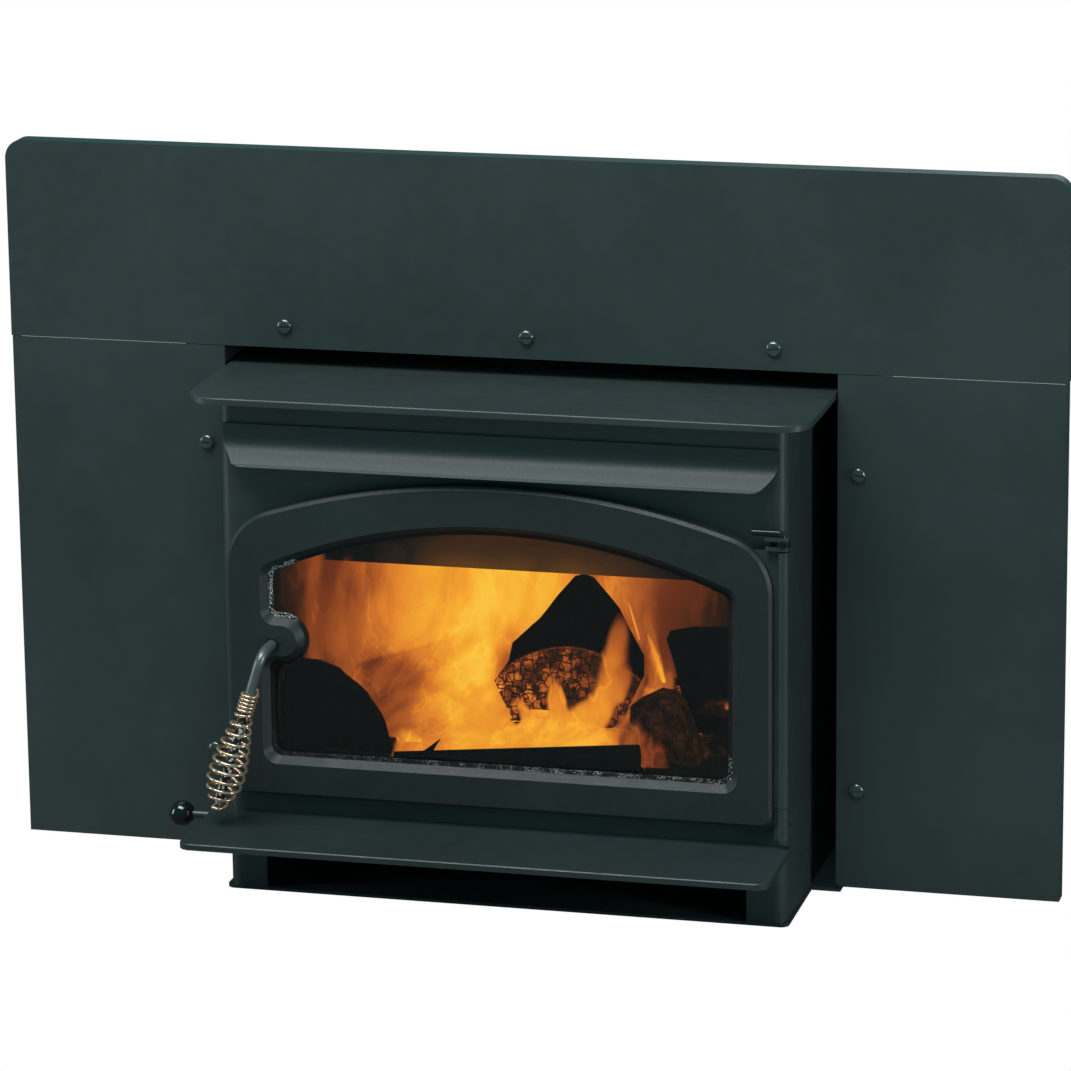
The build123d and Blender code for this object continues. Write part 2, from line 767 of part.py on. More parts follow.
def upper_hinge_bracket(body_solid):
    """Two lugs on a web, welded to the body above the door's barrel."""
    lugs = []
    for z in UPPER_LUG_Z:
        face = Pos(HINGE_X, HINGE_Y) * Circle(LUG_R)
        face += rect(HINGE_X - 16.0, HINGE_X, HINGE_Y - LUG_R, BODY_FRONT + 2)
        face += rect(HINGE_X - 16.0, HINGE_X + 1.5, HINGE_Y, BODY_FRONT + 8)
        lugs.append(prism(face, z, z + UPPER_LUG_T))
    top = UPPER_LUG_Z[1] + UPPER_LUG_T
    web = block(HINGE_X - 16.0, HINGE_X - 12.0, BODY_FRONT - 8, BODY_FRONT, UPPER_LUG_Z[0], top)
    bracket = lugs[0] + lugs[1] + web - hinge_rod(300, 400, HINGE_PIN_R)
    return bracket - body_solid


def hinge_l_pin():
    """Removable pin, bent over at its top, that holds the door's upper end."""
    corner = (HINGE_X, HINGE_Y, L_PIN_Z)
    path = FilletPolyline(
        (HINGE_X, HINGE_Y, L_PIN_BOTTOM), corner, (HINGE_X - L_PIN_LEG, HINGE_Y, L_PIN_Z), radius=5.0
    )
    start = Plane(origin=(HINGE_X, HINGE_Y, L_PIN_BOTTOM), z_dir=(0, 0, 1))
    return sweep(start * Circle(HINGE_PIN_R), path=path)


def hinge_washers():
    """Washers under the lower lug and between the two lugs."""
    low, high = UPPER_LUG_Z
    count = 3
    step = (high - low - UPPER_LUG_T) / count
    stack = [low + UPPER_LUG_T + step * (k + 0.5) - WASHER_T / 2 for k in range(count)]
    washers = []
    for z in stack:
        ring = hinge_rod(z, z + WASHER_T, WASHER_R) - hinge_rod(z - 1, z + 3, HINGE_PIN_R)
        washers.append(ring)
    return washers


# --- handle and latch ---


def arm_point(length, radius=0.0, angle=0.0):
    """A point at a length down the handle's arm and a radius off its axis."""
    tilt = radians(ARM_TILT)
    along = Vector(-sin(tilt), 0, -cos(tilt))
    across = Vector(cos(tilt), 0, -sin(tilt))
    centre = Vector(SHAFT_X, ARM_Y, SHAFT_Z) + along * length
    return centre + across * (radius * cos(angle)) + Vector(0, -1, 0) * (radius * sin(angle))


def handle_shaft():
    """One bent rod: the latch shaft through the door and the arm that hangs down."""
    path = FilletPolyline(
        (SHAFT_X, SHAFT_REAR, SHAFT_Z),
        (SHAFT_X, ARM_Y, SHAFT_Z),
        tuple(arm_point(ARM_LENGTH)),
        radius=ARM_BEND,
    )
    start = Plane(origin=(SHAFT_X, SHAFT_REAR, SHAFT_Z), z_dir=(0, -1, 0))
    return sweep(start * Circle(SHAFT_R), path=path)


def coil_length(turn):
    """How far down the arm the coil is after a number of turns."""
    tight = COIL_TIGHT_TURNS * COIL_TIGHT_PITCH
    if turn <= COIL_TIGHT_TURNS:
        return COIL_START + COIL_TIGHT_PITCH * turn
    share = (turn - COIL_TIGHT_TURNS) / COIL_OPEN_TURNS
    return COIL_START + tight + share * (COIL_END - COIL_START - tight)


def coil_radius(turn):
    """The coil's radius: a close neck, a belly low down and a drawn-in foot."""
    length = coil_length(turn)
    neck_end = COIL_START + COIL_TIGHT_TURNS * COIL_TIGHT_PITCH
    if length <= neck_end:
        return COIL_NECK_R
    if length <= COIL_BELLY_L:
        share = (length - neck_end) / (COIL_BELLY_L - neck_end)
        return COIL_NECK_R + (COIL_BELLY_R - COIL_NECK_R) * sin(pi / 2 * share) ** 1.2
    share = (length - COIL_BELLY_L) / (COIL_END - COIL_BELLY_L)
    return COIL_FOOT_R + (COIL_BELLY_R - COIL_FOOT_R) * cos(pi / 2 * share)


def coil_point(turn):
    """A point on the coil's centre line."""
    return arm_point(coil_length(turn), coil_radius(turn), 2 * pi * turn)


def coil_direction(turn):
    """The centre line's direction there."""
    step = 0.001
    return (coil_point(turn + step) - coil_point(turn - step)).normalized()


def coil_tail(turn, sense):
    """A curl from the coil in to the rod, ending one diameter straight and square to it."""
    angle = 2 * pi * turn + sense * radians(COIL_TAIL_ANGLE)
    length = coil_length(turn) + sense * COIL_TAIL_STEP
    foot = arm_point(length, SHAFT_R, angle)
    outward = (arm_point(length, 2 * SHAFT_R, angle) - foot).normalized()
    onward = (arm_point(length, 1, angle + 0.01) - arm_point(length, 1, angle - 0.01)).normalized()
    knee = foot + outward * 2 * WIRE_R
    lead = knee + (outward - onward * sense) * COIL_TAIL_BEND
    if sense > 0:
        reach = biarc(coil_point(turn), coil_direction(turn), lead, onward)
        return reach + [TangentArc(lead, knee, tangent=onward), Line(knee, foot)]
    reach = biarc(lead, onward, coil_point(turn), coil_direction(turn))
    return [Line(foot, knee), TangentArc(knee, lead, tangent=outward)] + reach


def coil_route():
    """The coil's centre line: two arcs to each half turn, and its two tails."""
    turns = COIL_TIGHT_TURNS + COIL_OPEN_TURNS
    edges = coil_tail(0, -1)
    for k in range(2 * turns):
        a, b = k / 2, (k + 1) / 2
        edges += biarc(coil_point(a), coil_direction(a), coil_point(b), coil_direction(b))
    return edges + coil_tail(turns, 1)


def coil_gap(edges):
    """Least gap between the wire and its own other turns, measured on points."""
    points = [(edge @ (k / 8)) for edge in edges for k in range(8)]
    travelled = [0.0]
    for before, after in zip(points, points[1:]):
        travelled.append(travelled[-1] + (after - before).length)
    apart = 5 * 2 * WIRE_R
    least = min(
        (points[j] - points[i]).length
        for i in range(len(points))
        for j in range(i + 1, len(points))
        if travelled[j] - travelled[i] > apart
    )
    return least - 2 * WIRE_R


def handle_coil():
    """Wire grip: one unbroken coil round the arm, both tails against the rod."""
    edges = coil_route()
    path = Wire(edges)
    start = Plane(origin=path.position_at(0), z_dir=path.tangent_at(0))
    coil = sweep(start * Circle(WIRE_R), path=path)
    expected = pi * WIRE_R**2 * path.length
    tightest = min(edge.radius for edge in edges if edge.geom_type == GeomType.CIRCLE)
    print("coil wire length", round(path.length, 1), "tightest bend", round(tightest, 2))
    print("coil volume", round(coil.volume, 1), "section times length", round(expected, 1))
    print("coil's least gap to itself", round(coil_gap(edges), 2))
    return coil


def shaft_ring(y0, y1, radius, bore=SHAFT_R):
    """A ring on the latch shaft."""
    return slab(Pos(SHAFT_X, SHAFT_Z) * (Circle(radius) - Circle(bore)), y0, y1)


def shaft_collar():
    """Collar on the shaft in front of the door."""
    front = DOOR_FRONT - BOSS_PAD_H - 0.3
    return shaft_ring(front - 2.0, front, 6.3)


def shaft_spacer():
    """Sleeve between the door's back and the latch tongue."""
    return shaft_ring(DOOR_BACK + 0.3, TONGUE_FRONT, 7.0)


def latch_tongue():
    """Latch tongue, keyed to the shaft's rear end."""
    face = Circle(TONGUE_HUB_R) + rect(-TONGUE_WIDTH / 2, TONGUE_WIDTH / 2, -TONGUE_REACH, 0)
    face = fillet(face.vertices().sort_by(Axis.Y)[:2], 3.0)
    face = Pos(SHAFT_X, SHAFT_Z) * (face - Circle(SHAFT_R))
    return slab(face, TONGUE_FRONT, TONGUE_BACK)


def shaft_nut():
    """Hexagon nut that clamps the tongue."""
    face = Pos(SHAFT_X, SHAFT_Z) * (RegularPolygon(9.8, 6) - Circle(SHAFT_R))
    return slab(face, TONGUE_BACK, TONGUE_BACK + 6.5)


def latch_keeper():
    """Keeper plate inside the body's front, for the tongue to turn behind."""
    inside = BODY_FRONT + BODY_PLATE
    face = rect(KEEPER_LEFT, KEEPER_RIGHT, SHAFT_Z - 26, SHAFT_Z + 26)
    keeper = slab(face, inside, inside + KEEPER_T)
    lead_in = [
        e
        for e in keeper.edges().filter_by(Axis.Z)
        if e.center().X > KEEPER_RIGHT - 1 and e.center().Y > inside + 1
    ]
    return chamfer(lead_in, 2.5)


# --- air control ---


def air_control_rod():
    """Round rod from the knob, through the body's side, to the damper."""
    return rod((BALL_X + 7.0, AIR_Y, AIR_Z), (DAMPER_LEFT + 24, AIR_Y, AIR_Z), AIR_ROD_R)


def air_control_knob():
    """Ball knob on the rod's end."""
    ball = Pos(BALL_X, AIR_Y, AIR_Z) * Sphere(BALL_R)
    return ball - rod((BALL_X + 7.0, AIR_Y, AIR_Z), (BALL_X + 20, AIR_Y, AIR_Z), AIR_ROD_R)


def air_rod_bush():
    """Flanged guide bush in the body's left side."""
    wall = -BODY_HALF
    bush = rod((wall - 2, AIR_Y, AIR_Z), (wall, AIR_Y, AIR_Z), 9.0)
    bush += rod((wall - 1, AIR_Y, AIR_Z), (wall + BODY_PLATE + 3, AIR_Y, AIR_Z), AIR_ROD_R + 3.0)
    return bush - rod((wall - 9, AIR_Y, AIR_Z), (wall + 20, AIR_Y, AIR_Z), AIR_ROD_R + RUNNING_GAP)


def air_box():
    """Folded box under the fire floor, with the combustion air inlet in its bottom."""
    sheet = AIR_BOX_SHEET
    box = block(AIR_BOX_LEFT, AIR_BOX_RIGHT, AIR_BOX_FRONT, AIR_BOX_BACK, AIR_BOX_BOTTOM, FLOOR_Z)
    box -= block(
        AIR_BOX_LEFT + sheet,
        AIR_BOX_RIGHT - sheet,
        AIR_BOX_FRONT + sheet,
        AIR_BOX_BACK - sheet,
        AIR_BOX_BOTTOM + sheet,
        FLOOR_Z + 1,
    )
    box -= block(
        INLET_LEFT, INLET_RIGHT, AIR_Y, AIR_Y + INLET_DEPTH, AIR_BOX_BOTTOM - 1, AIR_BOX_BOTTOM + sheet + 1
    )
    return box - rod((AIR_BOX_LEFT - 5, AIR_Y, AIR_Z), (AIR_BOX_LEFT + 5, AIR_Y, AIR_Z), 4.5)


def air_damper():
    """Sliding plate over the air inlet, with the lug that takes the rod."""
    floor = AIR_BOX_BOTTOM + AIR_BOX_SHEET + 0.4
    plate = block(
        DAMPER_LEFT, DAMPER_RIGHT, AIR_BOX_FRONT + 3.6, AIR_BOX_BACK - 3.6, floor, floor + DAMPER_T
    )
    lug = block(DAMPER_LEFT + 4, DAMPER_LEFT + 26, AIR_Y - 7, AIR_Y + 7, floor + 1, AIR_Z + 7)
    plate += lug
    return plate - rod((DAMPER_LEFT - 5, AIR_Y, AIR_Z), (DAMPER_LEFT + 24, AIR_Y, AIR_Z), AIR_ROD_R)


# --- fire chamber ---


def firebox_floor():
    """Steel floor under the bricks, slotted over the air box."""
    floor = prism(body_plan(BODY_PLATE), FLOOR_Z, FLOOR_Z + FLOOR_T)
    for k in range(4):
        x = AIR_BOX_LEFT + 32 + 48 * k
        floor -= block(x - 16, x + 16, -94, -82, FLOOR_Z - 1, FLOOR_Z + FLOOR_T + 1)
    return floor


def brick_run(start, end, count):
    """Splits a length into equal bricks with a gap between them."""
    size = (end - start - BRICK_GAP * (count - 1)) / count
    return [(start + k * (size + BRICK_GAP), start + k * (size + BRICK_GAP) + size) for k in range(count)]


def soften(brick):
    """Slightly worn brick edges."""
    return chamfer(brick.edges(), 1.2)


def floor_bricks():
    """Firebricks on the fire floor."""
    bricks = []
    for x0, x1 in brick_run(-CHAMBER_HALF, CHAMBER_HALF, 4):
        for y0, y1 in brick_run(CHAMBER_FRONT, CHAMBER_BACK - BRICK_GAP, 3):
            bricks.append(soften(block(x0, x1, y0, y1, FLOOR_Z + FLOOR_T, BRICK_TOP)))
    return bricks


def side_bricks(side):
    """Firebricks against the left (-1) or right (+1) wall."""
    x0, x1 = sorted((side * (CHAMBER_HALF + 0.5), side * (CHAMBER_HALF + 0.5 + SIDE_BRICK_T)))
    bricks = []
    for y0, y1 in brick_run(CHAMBER_FRONT, CHAMBER_BACK - BRICK_GAP, 2):
        bricks.append(soften(block(x0, x1, y0, y1, FLOOR_Z + FLOOR_T, BAFFLE_Z)))
    return bricks


def back_bricks():
    """Firebricks across the back."""
    bricks = []
    for x0, x1 in brick_run(-CHAMBER_HALF, CHAMBER_HALF, 4):
        brick = block(
            x0, x1, CHAMBER_BACK, CHAMBER_BACK + SIDE_BRICK_T, FLOOR_Z + FLOOR_T, BAFFLE_Z
        )
        bricks.append(soften(brick))
    return bricks


def baffle_board():
    """Baffle lying on the side and back bricks, cut to the tapered rear."""
    board = block(
        -BAFFLE_HALF, BAFFLE_HALF, BAFFLE_FRONT, BAFFLE_BACK, BAFFLE_Z, BAFFLE_Z + BAFFLE_T
    )
    board &= prism(body_plan(BODY_PLATE + 1.0), BAFFLE_Z, BAFFLE_Z + BAFFLE_T)
    return soften(board)


def split_log(outline, y_front, y_back, shrink):
    """A split log that points into the fire: one outline, a little smaller at the back."""
    middle = sum(x for x, z in outline) / len(outline)
    foot = min(z for x, z in outline)
    smaller = [(middle + (x - middle) * shrink, foot + (z - foot) * shrink) for x, z in outline]
    front = Plane.XZ.offset(-y_front) * make_face(Polyline(*outline, close=True))
    back = Plane.XZ.offset(-y_back) * make_face(Polyline(*smaller, close=True))
    return loft([front, back], ruled=True)


def round_log(start, end, radius, end_radius, sides=11):
    """A round branch between two points."""
    axis = Vector(*end) - Vector(*start)
    faces = []
    for origin, size in ((start, radius), (end, end_radius)):
        place = Plane(origin=origin, x_dir=(0, 1, 0), z_dir=axis)
        faces.append(place * RegularPolygon(size, sides))
    return loft(faces, ruled=True)


def fire_logs():
    """The five logs, each cut clear of the ones before it."""
    shapes = {
        "log_left": split_log(LEFT_LOG, -42, 60, 0.68),
        "log_right": split_log(RIGHT_LOG, 34, 120, 0.72),
        "log_upright": split_log(UPRIGHT_LOG, 46, 112, 0.88),
        "log_front": round_log((-116, -66, 127.2), (118, -54, 136.5), 5.0, 14.0),
        "log_leaning": split_log(LEANING_LOG, -22, 30, 0.94),
    }
    cut = {}
    for name, shape in shapes.items():
        for earlier in cut.values():
            shape = shape - earlier
        cut[name] = shape.solids().sort_by(SortBy.VOLUME)[-1]
    return cut


def ember_bed(logs):
    """Low bed of embers on the bricks, shaped round the logs."""
    bed = prism(Pos(0, 84) * Ellipse(205, 140), BRICK_TOP, BRICK_TOP + 12)
    bed = chamfer(bed.edges().sort_by(Axis.Z)[-1], 8.0)
    for log in logs.values():
        bed -= log
    return bed.solids().sort_by(SortBy.VOLUME)[-1]


def write(name, shape):
    """Writes one node's STEP file."""
    solids = shape if isinstance(shape, list) else [shape]
    shells = [solid for item in solids for solid in item.solids()]
    result = shells[0] if len(shells) == 1 else Compound(children=shells)
    result.label = name
    export_step(result, f"parts/{name}.step")


def main():
    """Builds and writes every node."""
    os.makedirs("parts", exist_ok=True)
    shell = body_shell()
    solid_body = prism(body_plan(0), BASE_PLATE, BODY_TOP)
    logs = fire_logs()
    nodes = {
        "surround_top_panel": surround_top_panel(),
        "surround_left_panel": surround_side_panel(-1),
        "surround_right_panel": surround_side_panel(1),
        "surround_screws": surround_screws(),
        "surround_nuts": surround_nuts(),
        "casing_wrap": casing_wrap(),
        "casing_top": casing_top(),
        "casing_flange": casing_flange(),
        "base_floor": base_floor(),
        "body_front": body_front(shell),
        "body_rear": body_rear(shell),
        "top_plate": top_plate(),
        "flue_collar": flue_collar(),
        "collar_bolts": collar_bolts(),
        "air_deflector": air_deflector(),
        "ash_shelf": ash_shelf(),
        "door_frame": door_frame(),
        "door_rope_gasket": door_rope_gasket(),
        "door_glass": door_glass(),
        "glass_gasket": glass_gasket(),
        "glass_clips": glass_clips(),
        "clip_screws": clip_screws(),
        "door_hinge_tube": door_hinge_tube(),
        "door_hinge_leaf": door_hinge_leaf(),
        "lower_hinge_bracket": lower_hinge_bracket(solid_body),
        "lower_hinge_pin": lower_hinge_pin(),
        "upper_hinge_bracket": upper_hinge_bracket(solid_body),
        "hinge_l_pin": hinge_l_pin(),
        "hinge_washers": hinge_washers(),
        "handle_shaft": handle_shaft(),
        "handle_coil": handle_coil(),
        "shaft_collar": shaft_collar(),
        "shaft_spacer": shaft_spacer(),
        "latch_tongue": latch_tongue(),
        "shaft_nut": shaft_nut(),
        "latch_keeper": latch_keeper(),
        "air_control_rod": air_control_rod(),
        "air_control_knob": air_control_knob(),
        "air_rod_bush": air_rod_bush(),
        "air_box": air_box(),
        "air_damper": air_damper(),
        "firebox_floor": firebox_floor(),
        "floor_bricks": floor_bricks(),
        "left_bricks": side_bricks(-1),
        "right_bricks": side_bricks(1),
        "back_bricks": back_bricks(),
        "baffle_board": baffle_board(),
        "ember_bed": ember_bed(logs),
        **logs,
    }
    for name, shape in nodes.items():
        write(name, shape)
    print(len(nodes), "nodes")


main()
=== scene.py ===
"""Looks of a wood-burning fireplace insert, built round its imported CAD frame.

Metres, in the row's frame: +X to the viewer's right, +Y into the fireplace, +Z up, with the
hearth at z = 0 and the surround's front face at y = 0. CAD nodes keep their shapes and get
procedural finishes. The charred logs, the front log's splinter and the fire are modelled here.
"""

from __future__ import annotations

import logging
import math
from abc import ABC, abstractmethod
from dataclasses import dataclass
from enum import Enum
from functools import cache, cached_property
from typing import Callable, Sequence

import bmesh
import bpy
from mathutils import Matrix, Vector, noise


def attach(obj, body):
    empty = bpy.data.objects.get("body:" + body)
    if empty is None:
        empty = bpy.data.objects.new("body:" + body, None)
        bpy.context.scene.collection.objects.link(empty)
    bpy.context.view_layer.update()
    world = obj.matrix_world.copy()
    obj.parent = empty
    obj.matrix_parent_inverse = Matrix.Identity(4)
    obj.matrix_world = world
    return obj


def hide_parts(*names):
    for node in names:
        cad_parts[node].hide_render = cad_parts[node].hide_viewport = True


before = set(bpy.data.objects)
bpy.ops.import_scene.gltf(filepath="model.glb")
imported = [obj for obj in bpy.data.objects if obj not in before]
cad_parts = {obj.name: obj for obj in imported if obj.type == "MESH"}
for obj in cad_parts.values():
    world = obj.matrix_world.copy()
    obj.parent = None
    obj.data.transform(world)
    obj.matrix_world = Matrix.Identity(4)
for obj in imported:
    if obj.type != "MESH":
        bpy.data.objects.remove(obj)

LOG = logging.getLogger("fireplace_insert")

# Mesh attributes that the fire's finishes read.
HEAT = "fire_heat"
COVER = "fire_cover"

Colour = tuple[float, float, float]
Point = tuple[float, float, float]


class Body(str, Enum):
    """The rigid bodies of the frame."""

    SHELL = "insert_body"
    DOOR = "door"
    HANDLE = "handle"
    AIR = "air_control"


# --- the photograph's camera, in the row's frame ---


@dataclass(frozen=True)
class CameraFit:
    """The camera that was fitted to the photograph.

    Attributes:
        place: Where the camera stands, in metres.
        yaw: Turn to the left from looking along +Y, in degrees.
        pitch: Tilt below the horizon, in degrees.
        roll: Turn about the line of sight, in degrees.
        lens: Focal length, in millimetres, for a sensor of SENSOR_WIDTH.
    """

    place: Point
    yaw: float
    pitch: float
    roll: float
    lens: float

    def matrix(self) -> Matrix:
        """The camera object's world matrix.

        Returns:
            A 4x4 matrix whose -Z axis looks at the object.
        """
        yaw, pitch, roll = (math.radians(a) for a in (self.yaw, self.pitch, self.roll))
        ahead = Vector(
            (-math.sin(yaw) * math.cos(pitch), math.cos(yaw) * math.cos(pitch), -math.sin(pitch))
        )
        right = Vector((math.cos(yaw), math.sin(yaw), 0.0))
        up = right.cross(ahead)
        level = right.copy()
        right = level * math.cos(roll) + up * math.sin(roll)
        up = up * math.cos(roll) - level * math.sin(roll)
        matrix = Matrix((right, up, -ahead)).transposed().to_4x4()
        matrix.translation = Vector(self.place)
        return matrix


SENSOR_WIDTH = 36.0
CAMERA = CameraFit(place=(1.195, -4.622, 1.603), yaw=14.42, pitch=14.91, roll=-0.63, lens=176.6)


# --- node trees ---


class Graph:
    """A material's node tree, written with short calls."""

    def __init__(self, name: str) -> None:
        """Starts an empty node tree.

        Args:
            name: The material's name.
        """
        self.material = bpy.data.materials.new(name)
        self.material.use_nodes = True
        self._tree = self.material.node_tree
        self._tree.nodes.clear()

    def add(self, kind: str, inputs: dict | None = None, **settings: object) -> bpy.types.Node:
        """Adds a shader node.

        Args:
            kind: The node's type without its ShaderNode prefix.
            inputs: Socket name or number to a value or to another node's output.
            settings: Properties of the node itself.

        Returns:
            The new node.
        """
        node = self._tree.nodes.new("ShaderNode" + kind)
        for key, value in settings.items():
            setattr(node, key, value)
        for key, value in (inputs or {}).items():
            socket = node.inputs[key]
            if isinstance(value, bpy.types.NodeSocket):
                self._tree.links.new(value, socket)
            else:
                socket.default_value = value
        return node

    def place(self, scale: Point = (1.0, 1.0, 1.0)) -> bpy.types.NodeSocket:
        """Object coordinates, stretched by scale."""
        coords = self.add("TexCoord").outputs["Object"]
        return self.add("Mapping", {"Vector": coords, "Scale": scale}).outputs["Vector"]

    def noise(
        self,
        vector: bpy.types.NodeSocket,
        scale: float,
        detail: float = 4.0,
        roughness: float = 0.55,
        distortion: float = 0.0,
    ) -> bpy.types.NodeSocket:
        """Adds fractal noise.

        Args:
            vector: Where it is looked up.
            scale: How fine it is, per metre.
            detail: How many finer layers it has.
            roughness: How strong each finer layer is.
            distortion: How much it bends itself.

        Returns:
            Values from 0 to 1 about 0.5.
        """
        inputs = {
            "Vector": vector,
            "Scale": scale,
            "Detail": detail,
            "Roughness": roughness,
            "Distortion": distortion,
        }
        return self.add("TexNoise", inputs).outputs["Fac"]

    def warp(
        self, vector: bpy.types.NodeSocket, scale: float, amount: float
    ) -> bpy.types.NodeSocket:
        """Bends coordinates with noise.

        Args:
            vector: The coordinates.
            scale: How fine the noise is, per metre.
            amount: Twice the furthest that it moves them, in metres.

        Returns:
            The bent coordinates.
        """
        swirl = self.add("TexNoise", {"Vector": vector, "Scale": scale, "Detail": 2.0})
        centred = self.add(
            "VectorMath", {0: swirl.outputs["Color"], 1: (0.5, 0.5, 0.5)}, operation="SUBTRACT"
        ).outputs[0]
        shift = self.add("VectorMath", {0: centred, "Scale": amount}, operation="SCALE").outputs[0]
        return self.add("VectorMath", {0: vector, 1: shift}, operation="ADD").outputs[0]

    def axes(self, vector: bpy.types.NodeSocket) -> Sequence[bpy.types.NodeSocket]:
        """The x, y and z of coordinates."""
        return self.add("SeparateXYZ", {0: vector}).outputs

    def voronoi(
        self, vector: bpy.types.NodeSocket, scale: float, feature: str = "F1"
    ) -> bpy.types.NodeSocket:
        """Cell distance."""
        inputs = {"Vector": vector, "Scale": scale}
        return self.add("TexVoronoi", inputs, feature=feature).outputs["Distance"]

    def cells(self, vector: bpy.types.NodeSocket, scale: float) -> bpy.types.NodeSocket:
        """Splits space into squarish cells, as charred wood splits.

        Args:
            vector: Where they are looked up.
            scale: How many there are in a metre.

        Returns:
            About the distance to the nearest edge between cells.
        """
        near, next_near = (
            self.add("TexVoronoi", {"Vector": vector, "Scale": scale}, feature=feature,
                     distance="CHEBYCHEV").outputs["Distance"]
            for feature in ("F1", "F2")
        )
        return self.math("SUBTRACT", next_near, near)

    def ramp(
        self, factor: bpy.types.NodeSocket, stops: Sequence[tuple[float, Colour | float]]
    ) -> bpy.types.NodeSocket:
        """A colour ramp.

        Args:
            factor: What is looked up.
            stops: Each stop's position and its colour, or its grey value.

        Returns:
            The ramp's colour.
        """
        node = self.add("ValToRGB", {"Fac": factor})
        elements = node.color_ramp.elements
        while len(elements) < len(stops):
            elements.new(0.5)
        for element, (position, value) in zip(elements, stops):
            element.position = position
            colour = (value, value, value) if isinstance(value, (int, float)) else value
            element.color = (*colour, 1.0)
        return node.outputs["Color"]

    def grey(self, value: bpy.types.NodeSocket) -> bpy.types.NodeSocket:
        """A value as a grey, clamped to 0 to 1."""
        return self.ramp(value, [(0.0, 0.0), (1.0, 1.0)])

    def math(
        self,
        operation: str,
        a: bpy.types.NodeSocket | float,
        b: bpy.types.NodeSocket | float = 0.0,
        clamp: bool = False,
    ) -> bpy.types.NodeSocket:
        """One arithmetic step."""
        return self.add("Math", {0: a, 1: b}, operation=operation, use_clamp=clamp).outputs[0]

    def span(
        self,
        value: bpy.types.NodeSocket,
        low: float,
        high: float,
        to_low: float = 0.0,
        to_high: float = 1.0,
    ) -> bpy.types.NodeSocket:
        """Maps low..high to to_low..to_high, smoothly and clamped."""
        inputs = {0: value, 1: low, 2: high, 3: to_low, 4: to_high}
        return self.add("MapRange", inputs, interpolation_type="SMOOTHSTEP").outputs[0]

    def mix(
        self,
        factor: bpy.types.NodeSocket | float,
        a: bpy.types.NodeSocket | Colour,
        b: bpy.types.NodeSocket | Colour,
        blend: str = "MIX",
    ) -> bpy.types.NodeSocket:
        """Mixes two colours.

        Args:
            factor: Share of b.
            a: The first colour.
            b: The second one.
            blend: How b is laid on a.

        Returns:
            The mixed colour.
        """
        inputs = {0: factor, 6: self._colour(a), 7: self._colour(b)}
        node = self.add("Mix", inputs, data_type="RGBA", blend_type=blend)
        return node.outputs[2]

    def bump(
        self, height: bpy.types.NodeSocket, distance: float, strength: float = 1.0, **links: object
    ) -> bpy.types.NodeSocket:
        """Bumps the surface.

        Args:
            height: The relief, from 0 to 1.
            distance: Its height, in metres.
            strength: Share of it that shows.
            links: "normal" is the normal that it goes on top of, if there is one.

        Returns:
            The bumped normal.
        """
        inputs = {"Height": height, "Distance": distance, "Strength": strength}
        if "normal" in links:
            inputs["Normal"] = links["normal"]
        return self.add("Bump", inputs).outputs["Normal"]

    def attribute(self, name: str) -> bpy.types.NodeSocket:
        """A mesh attribute's value."""
        return self.add("Attribute", attribute_name=name).outputs["Fac"]

    def principled(self, inputs: dict) -> bpy.types.Material:
        """Ends the tree with one Principled BSDF.

        Args:
            inputs: Socket name to value or output.

        Returns:
            The finished material.
        """
        self.surface(self.add("BsdfPrincipled", inputs).outputs["BSDF"])
        return self.material

    def surface(self, shader: bpy.types.NodeSocket) -> None:
        """Sends a shader to the material's output."""
        self.add("OutputMaterial", {"Surface": shader})

    @staticmethod
    def _colour(value: bpy.types.NodeSocket | Colour) -> object:
        """A socket as it is, and a colour with its alpha."""
        return value if isinstance(value, bpy.types.NodeSocket) else (*value, 1.0)


# --- finishes ---


class Finish(ABC):
    """A finish that makes its own material."""

    name: str

    @abstractmethod
    def build(self) -> bpy.types.Material:
        """Makes the material, in object coordinates."""


@cache
def material_of(finish: Finish) -> bpy.types.Material:
    """The finish's material, made the first time that a piece asks for it."""
    return finish.build()


@dataclass(frozen=True)
class MetalFinish(Finish):
    """A painted, cast, plain or bright metal.

    Attributes:
        name: The material's name.
        colour: Its mean colour.
        metallic: 0 for paint, 1 for bare metal.
        roughness: Its mean roughness.
        grain: Size of the finest surface grain, in metres.
        depth: Height of that grain, in metres.
        mottle: Share by which the colour varies over the piece.
        soot: Share of heat-darkened or sooty patches.
    """

    name: str
    colour: Colour
    metallic: float
    roughness: float
    grain: float
    depth: float
    mottle: float = 0.12
    soot: float = 0.0

    def build(self) -> bpy.types.Material:
        """Makes the material, in object coordinates.

        Returns:
            The material.
        """
        graph = Graph(self.name)
        place = graph.place()
        grain = graph.noise(place, 1.0 / self.grain, detail=3.0, roughness=0.6)
        cloud = graph.noise(place, 5.0, detail=5.0)
        dark = tuple(c * (1.0 - self.mottle) for c in self.colour)
        light = tuple(min(1.0, c * (1.0 + self.mottle)) for c in self.colour)
        colour = graph.mix(graph.span(cloud, 0.3, 0.7), dark, light)
        speck = graph.grey(graph.span(grain, 0.35, 0.65, 0.86, 1.14))
        colour = graph.mix(1.0, colour, speck, "MULTIPLY")
        if self.soot:
            patch = graph.span(graph.noise(place, 24.0, detail=6.0), 0.42, 0.62, 0.0, self.soot)
            colour = graph.mix(patch, colour, (0.012, 0.011, 0.010))
        rough = graph.span(graph.noise(place, 60.0, detail=4.0), 0.25, 0.75,
                           self.roughness - 0.05, self.roughness + 0.06)
        return graph.principled(
            {
                "Base Color": colour,
                "Metallic": self.metallic,
                "Roughness": rough,
                "Normal": graph.bump(grain, self.depth),
            }
        )


